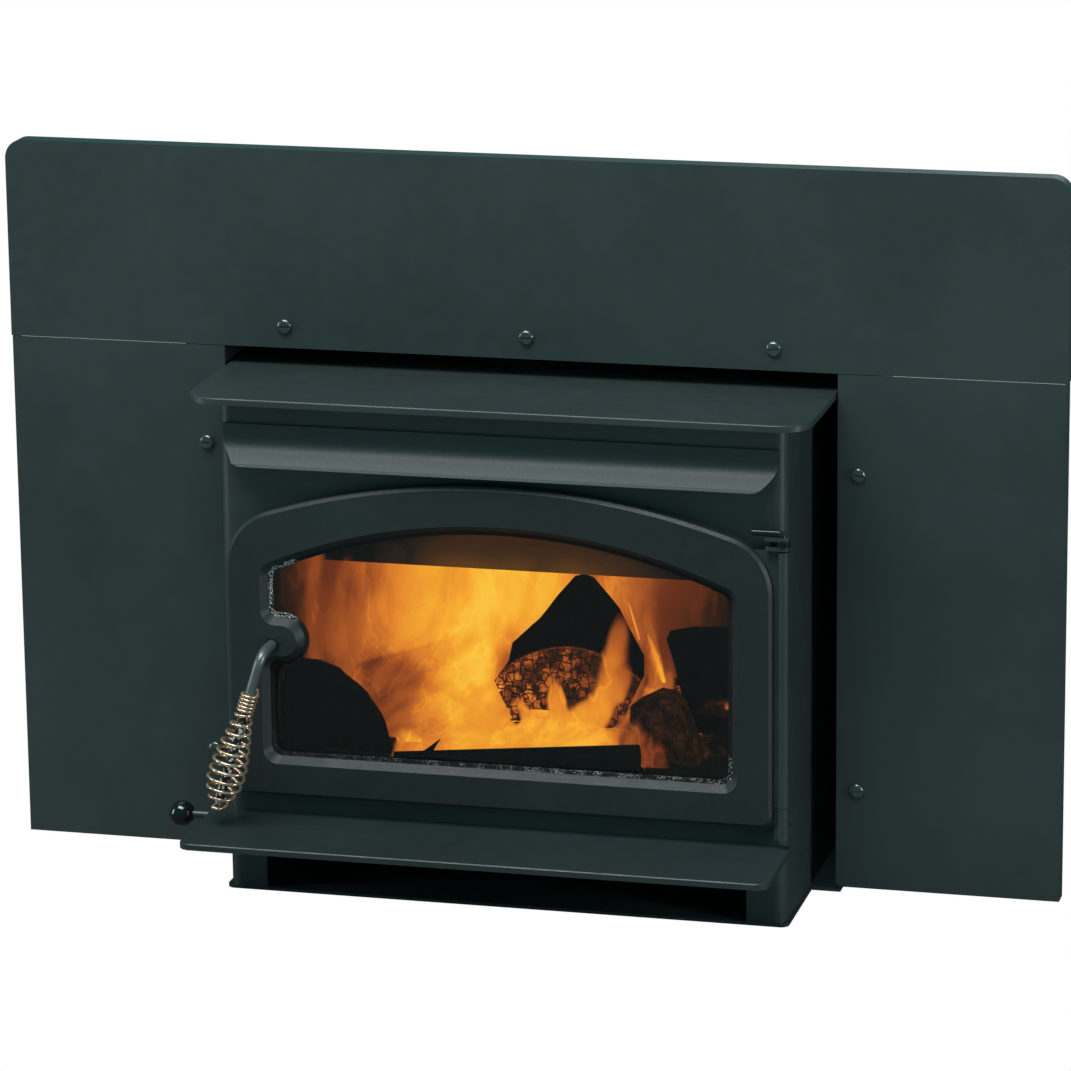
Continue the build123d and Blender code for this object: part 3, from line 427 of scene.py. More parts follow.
BODY_PAINT = MetalFinish("satin_body_paint", (0.036, 0.051, 0.052), 0.0, 0.38, 0.0011, 0.00008)
SURROUND_PAINT = MetalFinish(
    "satin_surround_paint", (0.037, 0.052, 0.053), 0.0, 0.40, 0.0010, 0.00006
)
SHELF_PAINT = MetalFinish("satin_shelf_paint", (0.026, 0.039, 0.040), 0.0, 0.38, 0.0011, 0.00008)
CASING_PAINT = MetalFinish("casing_sheet_paint", (0.030, 0.038, 0.040), 0.0, 0.55, 0.0014, 0.00006)
CAST_PAINT = MetalFinish("cast_paint_grain", (0.021, 0.030, 0.031), 0.0, 0.42, 0.0016, 0.00030, 0.1)
HINGE_GLOSS = MetalFinish("hinge_gloss", (0.012, 0.015, 0.016), 0.0, 0.22, 0.0009, 0.00002)
MILL_STEEL = MetalFinish("mill_steel", (0.34, 0.33, 0.32), 1.0, 0.38, 0.0008, 0.00002, 0.1, 0.25)
AIR_ROD_STEEL = MetalFinish(
    "air_rod_steel", (0.13, 0.14, 0.15), 0.8, 0.34, 0.0008, 0.00002, 0.1, 0.25
)
BLACK_OXIDE = MetalFinish("black_oxide", (0.19, 0.225, 0.23), 0.80, 0.17, 0.0007, 0.00002)
COIL_WIRE = MetalFinish("copper_coil_wire", (1.0, 0.66, 0.47), 0.75, 0.17, 0.0006, 0.00001, 0.16)


@dataclass(frozen=True)
class GripRodFinish(Finish):
    """Dark bright steel, with painted shade and painted glints on the part inside the coil.

    Attributes:
        name: The material's name.
        top: Height of the coil's upper end, in metres.
        foot: Height of its lower end.
        metallic: Share of metal in the steel.
        roughness: Its roughness.
        depth: Height of its grain, in metres.
    """

    name: str = "handle_rod_steel"
    top: float = 0.206
    foot: float = 0.100
    metallic: float = 0.55
    roughness: float = 0.34
    depth: float = 0.00003

    def build(self) -> bpy.types.Material:
        """Makes the material, in object coordinates.

        Returns:
            The material.
        """
        graph = Graph(self.name)
        place = graph.place()
        _, _, height = graph.axes(place)
        # Painted shade and painted glints: inside the coil the rod is darkened and flecked with
        # bright spots in place of the wire's reflections.
        inside = graph.math("MULTIPLY", graph.span(height, self.top + 0.003, self.top - 0.003),
                            graph.span(height, self.foot - 0.004, self.foot + 0.004))
        flecks = graph.voronoi(graph.warp(place, 200.0, 0.004), 270.0)
        painted_glint = graph.math("MULTIPLY", graph.span(flecks, 0.46, 0.26), inside)
        grain = graph.noise(place, 900.0)
        rod = graph.mix(grain, (0.15, 0.175, 0.185), (0.20, 0.23, 0.24))
        shaded = graph.mix(inside, rod, (0.035, 0.036, 0.040))
        return graph.principled(
            {
                "Base Color": graph.mix(painted_glint, shaded, (0.85, 0.84, 0.82)),
                "Metallic": graph.span(painted_glint, 0.0, 1.0, self.metallic, 0.1),
                "Roughness": self.roughness,
                "Normal": graph.bump(grain, self.depth),
            }
        )


@dataclass(frozen=True)
class LipHighlightPaintFinish(Finish):
    """Body paint, lightened to a speckled grey along the lower lip as a painted highlight.

    Attributes:
        name: The material's name.
        highlight_top: Height above which the paint has no painted highlight, in metres.
        painted_highlight: Height below which the painted highlight is full.
    """

    name: str = "deflector_painted_highlight"
    highlight_top: float = 0.441
    painted_highlight: float = 0.4195

    def build(self) -> bpy.types.Material:
        """Makes the material, in object coordinates.

        Returns:
            The material.
        """
        graph = Graph(self.name)
        place = graph.place()
        _, _, height = graph.axes(place)
        # Painted highlight: the lip is lightened towards grey, in place of studio light on the
        # curve.
        painted_highlight = graph.span(height, self.highlight_top, self.painted_highlight)
        grain = graph.noise(place, 1.0 / BODY_PAINT.grain, detail=3.0, roughness=0.6)
        colour = graph.mix(painted_highlight, BODY_PAINT.colour, (0.150, 0.168, 0.170))
        speck = graph.grey(graph.span(grain, 0.35, 0.65, 0.70, 1.0))
        return graph.principled(
            {
                "Base Color": graph.mix(1.0, colour, speck, "MULTIPLY"),
                "Roughness": graph.span(painted_highlight, 0.0, 1.0, 0.42, 0.50),
                "Normal": graph.bump(grain, 0.00012),
            }
        )


@dataclass(frozen=True)
class BallKnobFinish(Finish):
    """Glossy black moulded plastic with a faint orange-peel surface."""

    name: str = "black_knob"

    def build(self) -> bpy.types.Material:
        """Makes the material, in object coordinates.

        Returns:
            The material.
        """
        graph = Graph(self.name)
        place = graph.place()
        peel = graph.noise(place, 260.0, detail=2.0)
        dust = graph.span(graph.noise(place, 900.0, detail=2.0), 0.6, 0.8)
        return graph.principled(
            {
                "Base Color": graph.mix(dust, (0.006, 0.008, 0.009), (0.02, 0.022, 0.023)),
                "Roughness": graph.span(dust, 0.0, 1.0, 0.09, 0.25),
                "Coat Weight": 0.6,
                "Coat Roughness": 0.04,
                "Normal": graph.bump(peel, 0.00002),
            }
        )


@dataclass(frozen=True)
class CeramicPaneFinish(Finish):
    """Clear ceramic pane with a light film of smoke."""

    name: str = "clear_ceramic"

    def build(self) -> bpy.types.Material:
        """Makes the material, in object coordinates.

        Returns:
            The material.
        """
        graph = Graph(self.name)
        place = graph.place()
        smear = graph.span(graph.noise(place, 9.0, detail=5.0, distortion=1.0), 0.45, 0.75)
        return graph.principled(
            {
                "Base Color": graph.mix(smear, (0.98, 0.97, 0.95), (0.93, 0.90, 0.86)),
                "Transmission Weight": 1.0,
                "IOR": 1.5,
                "Roughness": graph.span(smear, 0.0, 1.0, 0.0, 0.03),
            }
        )


@dataclass(frozen=True)
class WovenFinish(Finish):
    """Woven glass-fibre seal, sooty between its threads and blackest at the top.

    Attributes:
        name: The material's name.
        light: Colour of the thread's crowns.
        dark: Colour of soot.
        pitch: Thread spacing, in metres.
        clean_below: Height below which its crowns stay clean.
        clean_left: x to the left of which they stay clean.
    """

    name: str
    light: Colour
    dark: Colour
    pitch: float
    clean_below: float
    clean_left: float

    def build(self) -> bpy.types.Material:
        """Makes the material, in object coordinates.

        Returns:
            The material.
        """
        graph = Graph(self.name)
        place = graph.place()
        threads = graph.voronoi(graph.warp(place, 300.0, 0.002), 1.0 / self.pitch)
        x, _, height = graph.axes(place)
        low = graph.math(
            "MULTIPLY", graph.span(height, self.clean_below + 0.02, self.clean_below),
            graph.span(x, -0.20, 0.12, 0.16, 1.0),
        )
        left = graph.math(
            "MULTIPLY", graph.span(x, self.clean_left + 0.010, self.clean_left),
            graph.span(height, 0.236, 0.256),
        )
        clean = graph.math("MAXIMUM", graph.math("MAXIMUM", low, left), 0.02)
        soot = graph.span(graph.noise(place, 150.0, detail=5.0), 0.42, 0.60)
        crown = graph.math("MULTIPLY", graph.span(threads, 0.46, 0.22), soot)
        pale = graph.math("MAXIMUM", graph.math("MULTIPLY", crown, clean),
                          graph.math("MULTIPLY", left, graph.span(threads, 0.52, 0.30)))
        return graph.principled(
            {
                "Base Color": graph.mix(pale, self.dark, self.light),
                "Roughness": 0.85,
                "Normal": graph.bump(threads, 0.0004),
            }
        )


WINDOW_TAPE = WovenFinish(
    "glass_fibre_tape", (0.80, 0.80, 0.78), (0.007, 0.006, 0.006), 0.0014, 0.150, -0.2
)
DOOR_ROPE = WovenFinish(
    "glass_fibre_rope", (0.28, 0.28, 0.27), (0.04, 0.038, 0.036), 0.0026, 0.6, 0.6
)


@dataclass(frozen=True)
class FirebrickFinish(Finish):
    """Pored firebrick with soot from the fire.

    Attributes:
        name: The material's name.
        light: Colour of its grains.
        dark: Colour between them.
    """

    name: str = "sooty_firebrick"
    light: Colour = (0.16, 0.115, 0.075)
    dark: Colour = (0.09, 0.062, 0.040)

    def build(self) -> bpy.types.Material:
        """Makes the material, in object coordinates.

        Returns:
            The material.
        """
        graph = Graph(self.name)
        place = graph.place()
        pores = graph.voronoi(place, 190.0)
        grit = graph.noise(place, 420.0, detail=4.0)
        soot = graph.span(graph.noise(place, 7.0, detail=6.0), 0.36, 0.66)
        colour = graph.mix(graph.span(grit, 0.3, 0.7), self.dark, self.light)
        colour = graph.mix(soot, colour, (0.014, 0.011, 0.009))
        height = graph.math("ADD", graph.math("MULTIPLY", pores, 0.6), grit)
        return graph.principled(
            {"Base Color": colour, "Roughness": 0.93, "Normal": graph.bump(height, 0.0006)}
        )


# Colours of the fire by its heat, from dark to the brightest yellow.
FIRE_STOPS: tuple[tuple[float, Colour], ...] = (
    (0.0, (0.0, 0.0, 0.0)),
    (0.18, (0.030, 0.010, 0.003)),
    (0.36, (0.155, 0.030, 0.007)),
    (0.54, (0.455, 0.106, 0.016)),
    (0.70, (0.80, 0.245, 0.022)),
    (0.84, (0.95, 0.42, 0.028)),
    (1.0, (1.0, 0.62, 0.06)),
)


@dataclass(frozen=True)
class CharFinish(Finish):
    """Charred wood: blocks between cracks, which glow where the mesh says it is hot.

    Attributes:
        name: The material's name.
        cell: Size of the blocks, in metres.
        base: Colour of the cold surface.
        crack_glow: Share of the heat that shows in the cracks.
        skin_glow: Share of the heat that shows on the blocks.
        rim_glow: Heat of the line where the burning part begins.
        dull: Share of the heat that is left in its dull patches.
    """

    name: str
    cell: float
    base: Colour
    crack_glow: float
    skin_glow: float
    rim_glow: float = 0.0
    dull: float = 0.12

    def build(self) -> bpy.types.Material:
        """Makes the material, in object coordinates.

        Returns:
            The material, which reads the heat attribute.
        """
        graph = Graph(self.name)
        place = graph.place((1.0, 1.0, 0.9))
        bent = graph.warp(place, 60.0, 0.006)
        cracks = graph.cells(bent, 1.0 / self.cell)
        fine = graph.cells(bent, 2.6 / self.cell)
        grit = graph.noise(place, 500.0, detail=4.0)
        heat = graph.attribute(HEAT)
        open_crack = graph.span(cracks, 0.17, 0.015)
        relief = graph.math("MULTIPLY", graph.span(cracks, 0.0, 0.3),
                            graph.span(heat, 0.05, 0.3, 0.3, 1.0))
        height = graph.math("ADD", relief, graph.math("MULTIPLY", fine, 0.2))
        return graph.principled(
            {
                "Base Color": self._cold(graph, place, grit, open_crack, heat),
                "Roughness": 0.80,
                "Specular IOR Level": 0.2,
                "Normal": graph.bump(height, 0.0016, normal=graph.bump(grit, 0.0004)),
                "Emission Color": graph.ramp(self._hot(graph, place, grit, open_crack, heat),
                                             FIRE_STOPS),
                "Emission Strength": 1.0,
            }
        )

    def _hot(
        self,
        graph: Graph,
        place: bpy.types.NodeSocket,
        grit: bpy.types.NodeSocket,
        open_crack: bpy.types.NodeSocket,
        heat: bpy.types.NodeSocket,
    ) -> bpy.types.NodeSocket:
        """Spreads the heat over cracks, blocks and the burning part's rim.

        Args:
            graph: The node tree.
            place: Object coordinates.
            grit: Fine noise.
            open_crack: 1 in a crack, 0 on a block.
            heat: The mesh's heat.

        Returns:
            How hot the surface looks, from 0 to 1.
        """
        patch = graph.span(graph.noise(place, 60.0, detail=5.0), 0.36, 0.62, self.dull, 1.12)
        ember = graph.math("MULTIPLY", graph.math("MULTIPLY", open_crack, patch), heat)
        block = graph.math("SUBTRACT", 1.0, graph.math("MULTIPLY", open_crack, 0.8))
        skin = graph.math("MULTIPLY", graph.math("MULTIPLY", heat, patch), block)
        skin = graph.math("MULTIPLY", skin, graph.span(grit, 0.1, 0.7, 0.6, 1.2))
        rim = graph.math("MULTIPLY", graph.span(heat, 0.04, 0.14), graph.span(heat, 0.36, 0.20))
        hot = graph.math("ADD", graph.math("MULTIPLY", ember, self.crack_glow),
                         graph.math("MULTIPLY", skin, self.skin_glow))
        return graph.math("ADD", hot, graph.math("MULTIPLY", rim, self.rim_glow), clamp=True)

    def _cold(
        self,
        graph: Graph,
        place: bpy.types.NodeSocket,
        grit: bpy.types.NodeSocket,
        open_crack: bpy.types.NodeSocket,
        heat: bpy.types.NodeSocket,
    ) -> bpy.types.NodeSocket:
        """Colours the wood itself, with some ash and black cracks in its burning part.

        Args:
            graph: The node tree.
            place: Object coordinates.
            grit: Fine noise.
            open_crack: 1 in a crack, 0 on a block.
            heat: The mesh's heat.

        Returns:
            The colour without the glow.
        """
        burning = graph.span(heat, 0.10, 0.30)
        ash = graph.span(graph.noise(place, 85.0, detail=5.0), 0.58, 0.78, 0.0, 0.4)
        colour = graph.mix(grit, tuple(c * 0.45 for c in self.base),
                           tuple(c * 1.5 for c in self.base))
        colour = graph.mix(ash, colour, tuple(min(1.0, c * 3.2) for c in self.base))
        return graph.mix(graph.math("MULTIPLY", open_crack, burning), colour,
                         (0.002, 0.002, 0.002))


class Wood(Enum):
    """The logs' finishes."""

    CHARRED = CharFinish("charred_log", 0.0078, (0.007, 0.0067, 0.0067), 0.10, 0.85)
    BURNING = CharFinish("burning_log", 0.0076, (0.007, 0.0067, 0.0067), 0.10, 1.02, 0.22, 0.45)
    BROWN = CharFinish("charred_log_brown", 0.0105, (0.014, 0.008, 0.007), 0.15, 0.74)


@dataclass(frozen=True)
class EmberFinish(Finish):
    """Bed of ash and glowing coals."""

    name: str = "hot_embers"

    def build(self) -> bpy.types.Material:
        """Makes the material, in object coordinates.

        Returns:
            The material.
        """
        graph = Graph(self.name)
        place = graph.place()
        coals = graph.voronoi(place, 70.0, "DISTANCE_TO_EDGE")
        patch = graph.span(graph.noise(place, 14.0, detail=5.0), 0.38, 0.62)
        hot = graph.math("MULTIPLY", graph.span(coals, 0.25, 0.0), patch)
        grit = graph.noise(place, 300.0, detail=4.0)
        return graph.principled(
            {
                "Base Color": graph.mix(grit, (0.008, 0.007, 0.006), (0.050, 0.043, 0.036)),
                "Roughness": 0.95,
                "Normal": graph.bump(coals, 0.004),
                "Emission Color": graph.ramp(hot, FIRE_STOPS),
                "Emission Strength": 1.0,
            }
        )


@dataclass(frozen=True)
class FlameFinish(Finish):
    """Flame: light by the mesh's heat, thinned by its cover, with rising streaks.

    Attributes:
        name: The material's name.
        streak: How far the broad streaks swing the heat.
        thread: How much the thin bright threads add to it.
        strength: The light's strength.
    """

    name: str
    streak: float
    thread: float
    strength: float = 1.08

    def build(self) -> bpy.types.Material:
        """Makes the material, in object coordinates.

        Returns:
            The material, which reads the heat and cover attributes.
        """
        graph = Graph(self.name)
        place = graph.warp(graph.place((1.0, 0.4, 0.34)), 7.0, 0.07)
        broad = graph.noise(place, 15.0, detail=5.0, roughness=0.6)
        wisps = graph.noise(place, 62.0, detail=4.0)
        ridge = graph.math("ABSOLUTE", graph.math("SUBTRACT", graph.noise(place, 17.0), 0.5))
        lick = graph.math("ADD", graph.math("MULTIPLY", broad, 0.80),
                          graph.math("MULTIPLY", wisps, 0.20))
        swing = graph.span(lick, 0.36, 0.64, -self.streak, self.streak)
        swing = graph.math("ADD", swing, graph.span(ridge, 0.022, 0.0, 0.0, self.thread))
        heat = graph.math("ADD", graph.attribute(HEAT), swing, clamp=True)
        cover = graph.math("ADD", graph.attribute(COVER), graph.math("MULTIPLY", swing, 1.5))
        return graph.principled(
            {
                "Base Color": (0.0, 0.0, 0.0, 1.0),
                "Roughness": 1.0,
                "Specular IOR Level": 0.0,
                "Emission Color": graph.ramp(heat, FIRE_STOPS),
                "Emission Strength": self.strength,
                "Alpha": graph.span(cover, 0.1, 0.8),
            }
        )


@dataclass(frozen=True)
class BaffleFinish(Finish):
    """Fibre board with painted firelight: an amber glow in place of the fire's light from below,
    dimmed in a patch of dark smoke.

    Attributes:
        name: The material's name.
        foot: Height of the board's lower edge, in metres.
        top: Height at which its painted firelight is weakest.
        stops: Colours of its painted firelight.
    """

    name: str = "baffle_painted_firelight"
    foot: float = 0.297
    top: float = 0.322
    stops: tuple[tuple[float, Colour], ...] = (
        (0.0, (0.0, 0.0, 0.0)),
        (0.06, (0.012, 0.005, 0.003)),
        (0.20, (0.052, 0.018, 0.003)),
        (0.30, (0.120, 0.045, 0.007)),
    )

    def build(self) -> bpy.types.Material:
        """Makes the material, in object coordinates.

        Returns:
            The material.
        """
        graph = Graph(self.name)
        place = graph.place()
        grit = graph.noise(place, 300.0, detail=4.0)
        x, _, z = graph.axes(place)
        # Painted firelight: emission in place of the fire's light, strongest low on the board and
        # in its middle.
        low = graph.span(z, self.top, self.foot, 0.62, 1.0)
        off_centre = graph.math("ABSOLUTE", graph.math("SUBTRACT", x, -0.01))
        centre = graph.span(off_centre, 0.17, 0.05)
        curl = graph.noise(graph.warp(place, 14.0, 0.05), 22.0, detail=5.0)
        glow = graph.math("MULTIPLY", graph.math("MULTIPLY", low, centre), 0.27)
        glow = graph.math("MULTIPLY", glow, graph.span(curl, 0.2, 0.6, 0.8, 1.05))
        drift = graph.math("ADD", x, graph.math("MULTIPLY", curl, 0.10))
        smoke = graph.math("MULTIPLY", graph.span(drift, -0.035, -0.085),
                           graph.span(curl, 0.38, 0.52))
        glow = graph.math("MULTIPLY", glow, graph.math("SUBTRACT", 1.0, smoke))
        return graph.principled(
            {
                "Base Color": graph.mix(grit, (0.020, 0.012, 0.006), (0.045, 0.028, 0.014)),
                "Roughness": 0.95,
                "Normal": graph.bump(grit, 0.0004),
                "Emission Color": graph.ramp(glow, self.stops),
                "Emission Strength": 1.0,
            }
        )


# --- mesh helpers ---


def new_object(
    name: str, mesh: bmesh.types.BMesh, material: bpy.types.Material
) -> bpy.types.Object:
    """Turns a bmesh into a smooth-shaded object.

    Args:
        name: The object's name.
        mesh: The mesh, which is freed.
        material: Its finish.

    Returns:
        The linked object, at the origin.
    """
    data = bpy.data.meshes.new(name)
    mesh.to_mesh(data)
    mesh.free()
    data.materials.append(material)
    for polygon in data.polygons:
        polygon.use_smooth = True
    piece = bpy.data.objects.new(name, data)
    bpy.context.scene.collection.objects.link(piece)
    return piece


def smooth_step(low: float, high: float, value: float) -> float:
    """0 below low, 1 above high, and a smooth rise between."""
    share = min(1.0, max(0.0, (value - low) / (high - low)))
    return share * share * (3.0 - 2.0 * share)


# --- logs ---

# Rings that close a log's end, rings along it and spacing of its vertices, in metres.
END_RINGS = 26
LOG_LENGTHS = 16
LOG_STEP = 0.0035
# How near its end a vertex is roughened along the log too, in metres.
END_BAND = 0.004


@dataclass(frozen=True)
class SplitLog:
    """A split log that points into the fire.

    Attributes:
        node: The CAD node that it replaces.
        outline: Its front end, as (x, z) points in order.
        front: y of its front end.
        back: y of its back end.
        shrink: Size of the back end as a share of the front.
        rough: Depth of its uneven surface.
        heat: The heat at a point of the log, from 0 to 1.
        wood: Which finish it has.
    """

    node: str
    outline: tuple[tuple[float, float], ...]
    front: float
    back: float
    shrink: float
    rough: float
    heat: Callable[[Vector], float]
    wood: Wood = Wood.CHARRED

    def ring(self, share: float) -> list[Vector]:
        """Walks round the log in even steps.

        Args:
            share: How far along the log, from 0 at its front to 1 at its back.

        Returns:
            The points of the outline there.
        """
        middle = sum(x for x, _ in self.outline) / len(self.outline)
        foot = min(z for _, z in self.outline)
        size = 1.0 + (self.shrink - 1.0) * share
        y = self.front + (self.back - self.front) * share
        corners = [
            Vector((middle + (x - middle) * size, y, foot + (z - foot) * size))
            for x, z in self.outline
        ]
        points: list[Vector] = []
        for start, end in zip(corners, corners[1:] + corners[:1]):
            count = max(1, round((end - start).length / LOG_STEP))
            points += [start.lerp(end, k / count) for k in range(count)]
        return points

    def build(self) -> bpy.types.Object:
        """Models the log.

        Returns:
            The log, with a heat attribute.
        """
        mesh = bmesh.new()
        count = len(self.ring(0.0))
        rings = []
        for k in range(LOG_LENGTHS + 1):
            ring = self.ring(k / LOG_LENGTHS)[:count]
            while len(ring) < count:
                ring.append(ring[-1].copy())
            rings.append([mesh.verts.new(point) for point in ring])
        for near, far in zip(rings, rings[1:]):
            for i in range(count):
                j = (i + 1) % count
                mesh.faces.new((near[i], near[j], far[j], far[i]))
        for ring, sense in ((rings[0], -1), (rings[-1], 1)):
            self._cap(mesh, ring[::sense])
        self._roughen(mesh)
        bmesh.ops.recalc_face_normals(mesh, faces=mesh.faces)
        layer = mesh.verts.layers.float.new(HEAT)
        for vert in mesh.verts:
            vert[layer] = self.heat(vert.co)
        piece = new_object(self.node + "_charred", mesh, material_of(self.wood.value))
        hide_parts(self.node)
        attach(piece, Body.SHELL.value)
        return piece

    @staticmethod
    def _cap(mesh: bmesh.types.BMesh, ring: list[bmesh.types.BMVert]) -> None:
        """Closes an end with rings that draw in to its centre.

        Args:
            mesh: The log.
            ring: The end's outline.
        """
        centre = sum((vert.co for vert in ring), Vector()) / len(ring)
        outer = ring
        for k in range(END_RINGS - 1, 0, -1):
            inner = [mesh.verts.new(centre.lerp(vert.co, k / END_RINGS)) for vert in ring]
            for i in range(len(ring)):
                j = (i + 1) % len(ring)
                mesh.faces.new((outer[i], outer[j], inner[j], inner[i]))
            outer = inner
        hub = mesh.verts.new(centre)
        for i in range(len(ring)):
            mesh.faces.new((outer[i], outer[(i + 1) % len(ring)], hub))

    def _roughen(self, mesh: bmesh.types.BMesh) -> None:
        """Pushes the surface inwards by uneven amounts.

        Args:
            mesh: The log.
        """
        low = min(vert.co.z for vert in mesh.verts)
        middle_x = sum(vert.co.x for vert in mesh.verts) / len(mesh.verts)
        middle_z = sum(vert.co.z for vert in mesh.verts) / len(mesh.verts)
        for vert in mesh.verts:
            wave = 0.5 + 0.5 * noise.noise(vert.co * 34.0)
            wave = 0.65 * wave + 0.35 * (0.5 + 0.5 * noise.noise(vert.co * 110.0))
            inward = Vector((middle_x - vert.co.x, 0.0, middle_z - vert.co.z))
            if inward.length > 1e-6:
                vert.co += inward.normalized() * self.rough * wave
            end = min(vert.co.y - self.front, self.back - vert.co.y)
            sense = 1.0 if vert.co.y < (self.front + self.back) / 2 else -1.0
            if end < END_BAND:
                vert.co.y += sense * self.rough * 0.8 * wave
            vert.co.z = max(vert.co.z, low)


def cool(_: Vector) -> float:
    """No glow."""
    return 0.0


def upright_heat(point: Vector) -> float:
    """The upright log burns below a curved edge, most at its left side and foot.

    Args:
        point: A point of the log.

    Returns:
        Its heat, from 0 to 1.
    """
    edge = 0.2125 - 6.0 * (point.x - 0.028) ** 2
    below = smooth_step(edge + 0.001, edge - 0.004, point.z)
    left = smooth_step(0.030, -0.030, point.x) * smooth_step(0.205, 0.175, point.z)
    edge_glow = smooth_step(-0.030, -0.044, point.x) * smooth_step(0.196, 0.184, point.z)
    right = smooth_step(0.025, 0.050, point.x)
    return min(1.0, below * (0.41 + 0.17 * left + 0.20 * edge_glow - 0.10 * right))


def leaning_heat(point: Vector) -> float:
    """The leaning log glows along its left side and faintly in its cracks.

    Args:
        point: A point of the log.

    Returns:
        Its heat, from 0 to 1.
    """
    left = smooth_step(0.132, 0.104, point.x + 0.25 * (point.z - 0.15))
    return 0.22 + 0.30 * left * smooth_step(0.195, 0.16, point.z)


def right_heat(point: Vector) -> float:
    """The right log has a glowing patch low on its front.

    Args:
        point: A point of the log.

    Returns:
        Its heat, from 0 to 1.
    """
    across = (point.x - 0.180 - 0.6 * (point.z - 0.164)) / 0.016
    up = (point.z - 0.164) / 0.007
    return 0.66 * smooth_step(1.7, 0.0, math.hypot(across, up))


SPLIT_LOGS = (
    SplitLog(
        node="log_left",
        outline=((-0.228, 0.122), (-0.232, 0.196), (-0.214, 0.213), (-0.193, 0.211),
                 (-0.175, 0.205), (-0.160, 0.191), (-0.146, 0.172), (-0.129, 0.146),
                 (-0.119, 0.122)),
        front=-0.042, back=0.030, shrink=0.55, rough=0.003, heat=cool,
    ),
    SplitLog(
        node="log_right",
        outline=((0.150, 0.134), (0.139, 0.164), (0.130, 0.206), (0.123, 0.230),
                 (0.127, 0.239), (0.150, 0.245), (0.190, 0.246), (0.226, 0.230),
                 (0.232, 0.176), (0.218, 0.134)),
        front=0.034, back=0.120, shrink=0.72, rough=0.005, heat=right_heat,
    ),
    SplitLog(
        node="log_upright",
        outline=((-0.030, 0.134), (-0.041, 0.156), (-0.048, 0.174), (-0.034, 0.194),
                 (-0.030, 0.213), (-0.002, 0.240), (0.016, 0.263), (0.033, 0.283),
                 (0.043, 0.286), (0.052, 0.283), (0.077, 0.254), (0.101, 0.208),
                 (0.101, 0.188), (0.089, 0.162), (0.077, 0.134)),
        front=0.046, back=0.100, shrink=0.80, rough=0.002, heat=upright_heat,
        wood=Wood.BURNING,
    ),
    SplitLog(
        node="log_leaning",
        outline=((0.104, 0.122), (0.099, 0.160), (0.101, 0.178), (0.122, 0.189),
                 (0.138, 0.186), (0.148, 0.176), (0.163, 0.140), (0.170, 0.122)),
        front=-0.022, back=0.030, shrink=0.94, rough=0.004, heat=leaning_heat,
        wood=Wood.BROWN,
    ),
)


@dataclass(frozen=True)
class Splinter:
    """The pointed splinter that stands up from the front log, against the fire.

    Attributes:
        root: The middle of its root.
        tip: Its point.
        thick: Its radius at the root, in metres.
        sharp: Its radius at the point.
        rough: Depth of its uneven surface.
        wood: Which finish it has.
    """

    root: Point = (-0.0890, -0.058, 0.127)
    tip: Point = (-0.0725, -0.060, 0.1452)
    thick: float = 0.0046
    sharp: float = 0.0003
    rough: float = 0.0009
    wood: Wood = Wood.CHARRED

    def build(self) -> bpy.types.Object:
        """Models the splinter.

        Returns:
            The splinter, riding on the shell.
        """
        root, tip = Vector(self.root), Vector(self.tip)
        mesh = bmesh.new()
        turn = (tip - root).to_track_quat("Z", "Y").to_matrix().to_4x4()
        bmesh.ops.create_cone(mesh, cap_ends=True, segments=10, radius1=self.thick,
                              radius2=self.sharp, depth=(tip - root).length,
                              matrix=Matrix.Translation((root + tip) / 2) @ turn)
        bmesh.ops.subdivide_edges(mesh, edges=mesh.edges, cuts=3)
        for vert in mesh.verts:
            shove = [noise.noise(vert.co * 160.0 + Vector((0.0, 0.0, 7.0 * k))) for k in range(3)]
            vert.co += self.rough * Vector(shove)
        piece = new_object("front_log_splinter", mesh, material_of(self.wood.value))
        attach(piece, Body.SHELL.value)
        return piece


# --- fire ---

CAMERA_SIDE = Vector(CAMERA.place)
FIRE_PLANE_Y = 0.1


def seen_at(point: Vector) -> tuple[float, float]:
    """Where a point lands on the plane through the fire's middle, seen from the front.

    Args:
        point: A point of the fire.

    Returns:
        Its x and z on that plane.
    """
    share = (FIRE_PLANE_Y - CAMERA_SIDE.y) / (point.y - CAMERA_SIDE.y)
    landed = CAMERA_SIDE.lerp(point, share)
    return landed.x, landed.z


@dataclass(frozen=True)
class Glow:
    """How hot the fire is round a point of the fire's plane.

    Attributes:
        x: Its place across.
        z: Its height.
        heat: 0 for dark to 1 for yellow.
        wide: Its reach across, in metres.
        tall: Its reach up and down, in metres.
    """

    x: float
    z: float
    heat: float
    wide: float = 0.028
    tall: float = 0.024

    def weight(self, x: float, z: float) -> float:
        """Its say at a point."""
        return math.exp(-(((x - self.x) / self.wide) ** 2) - ((z - self.z) / self.tall) ** 2)


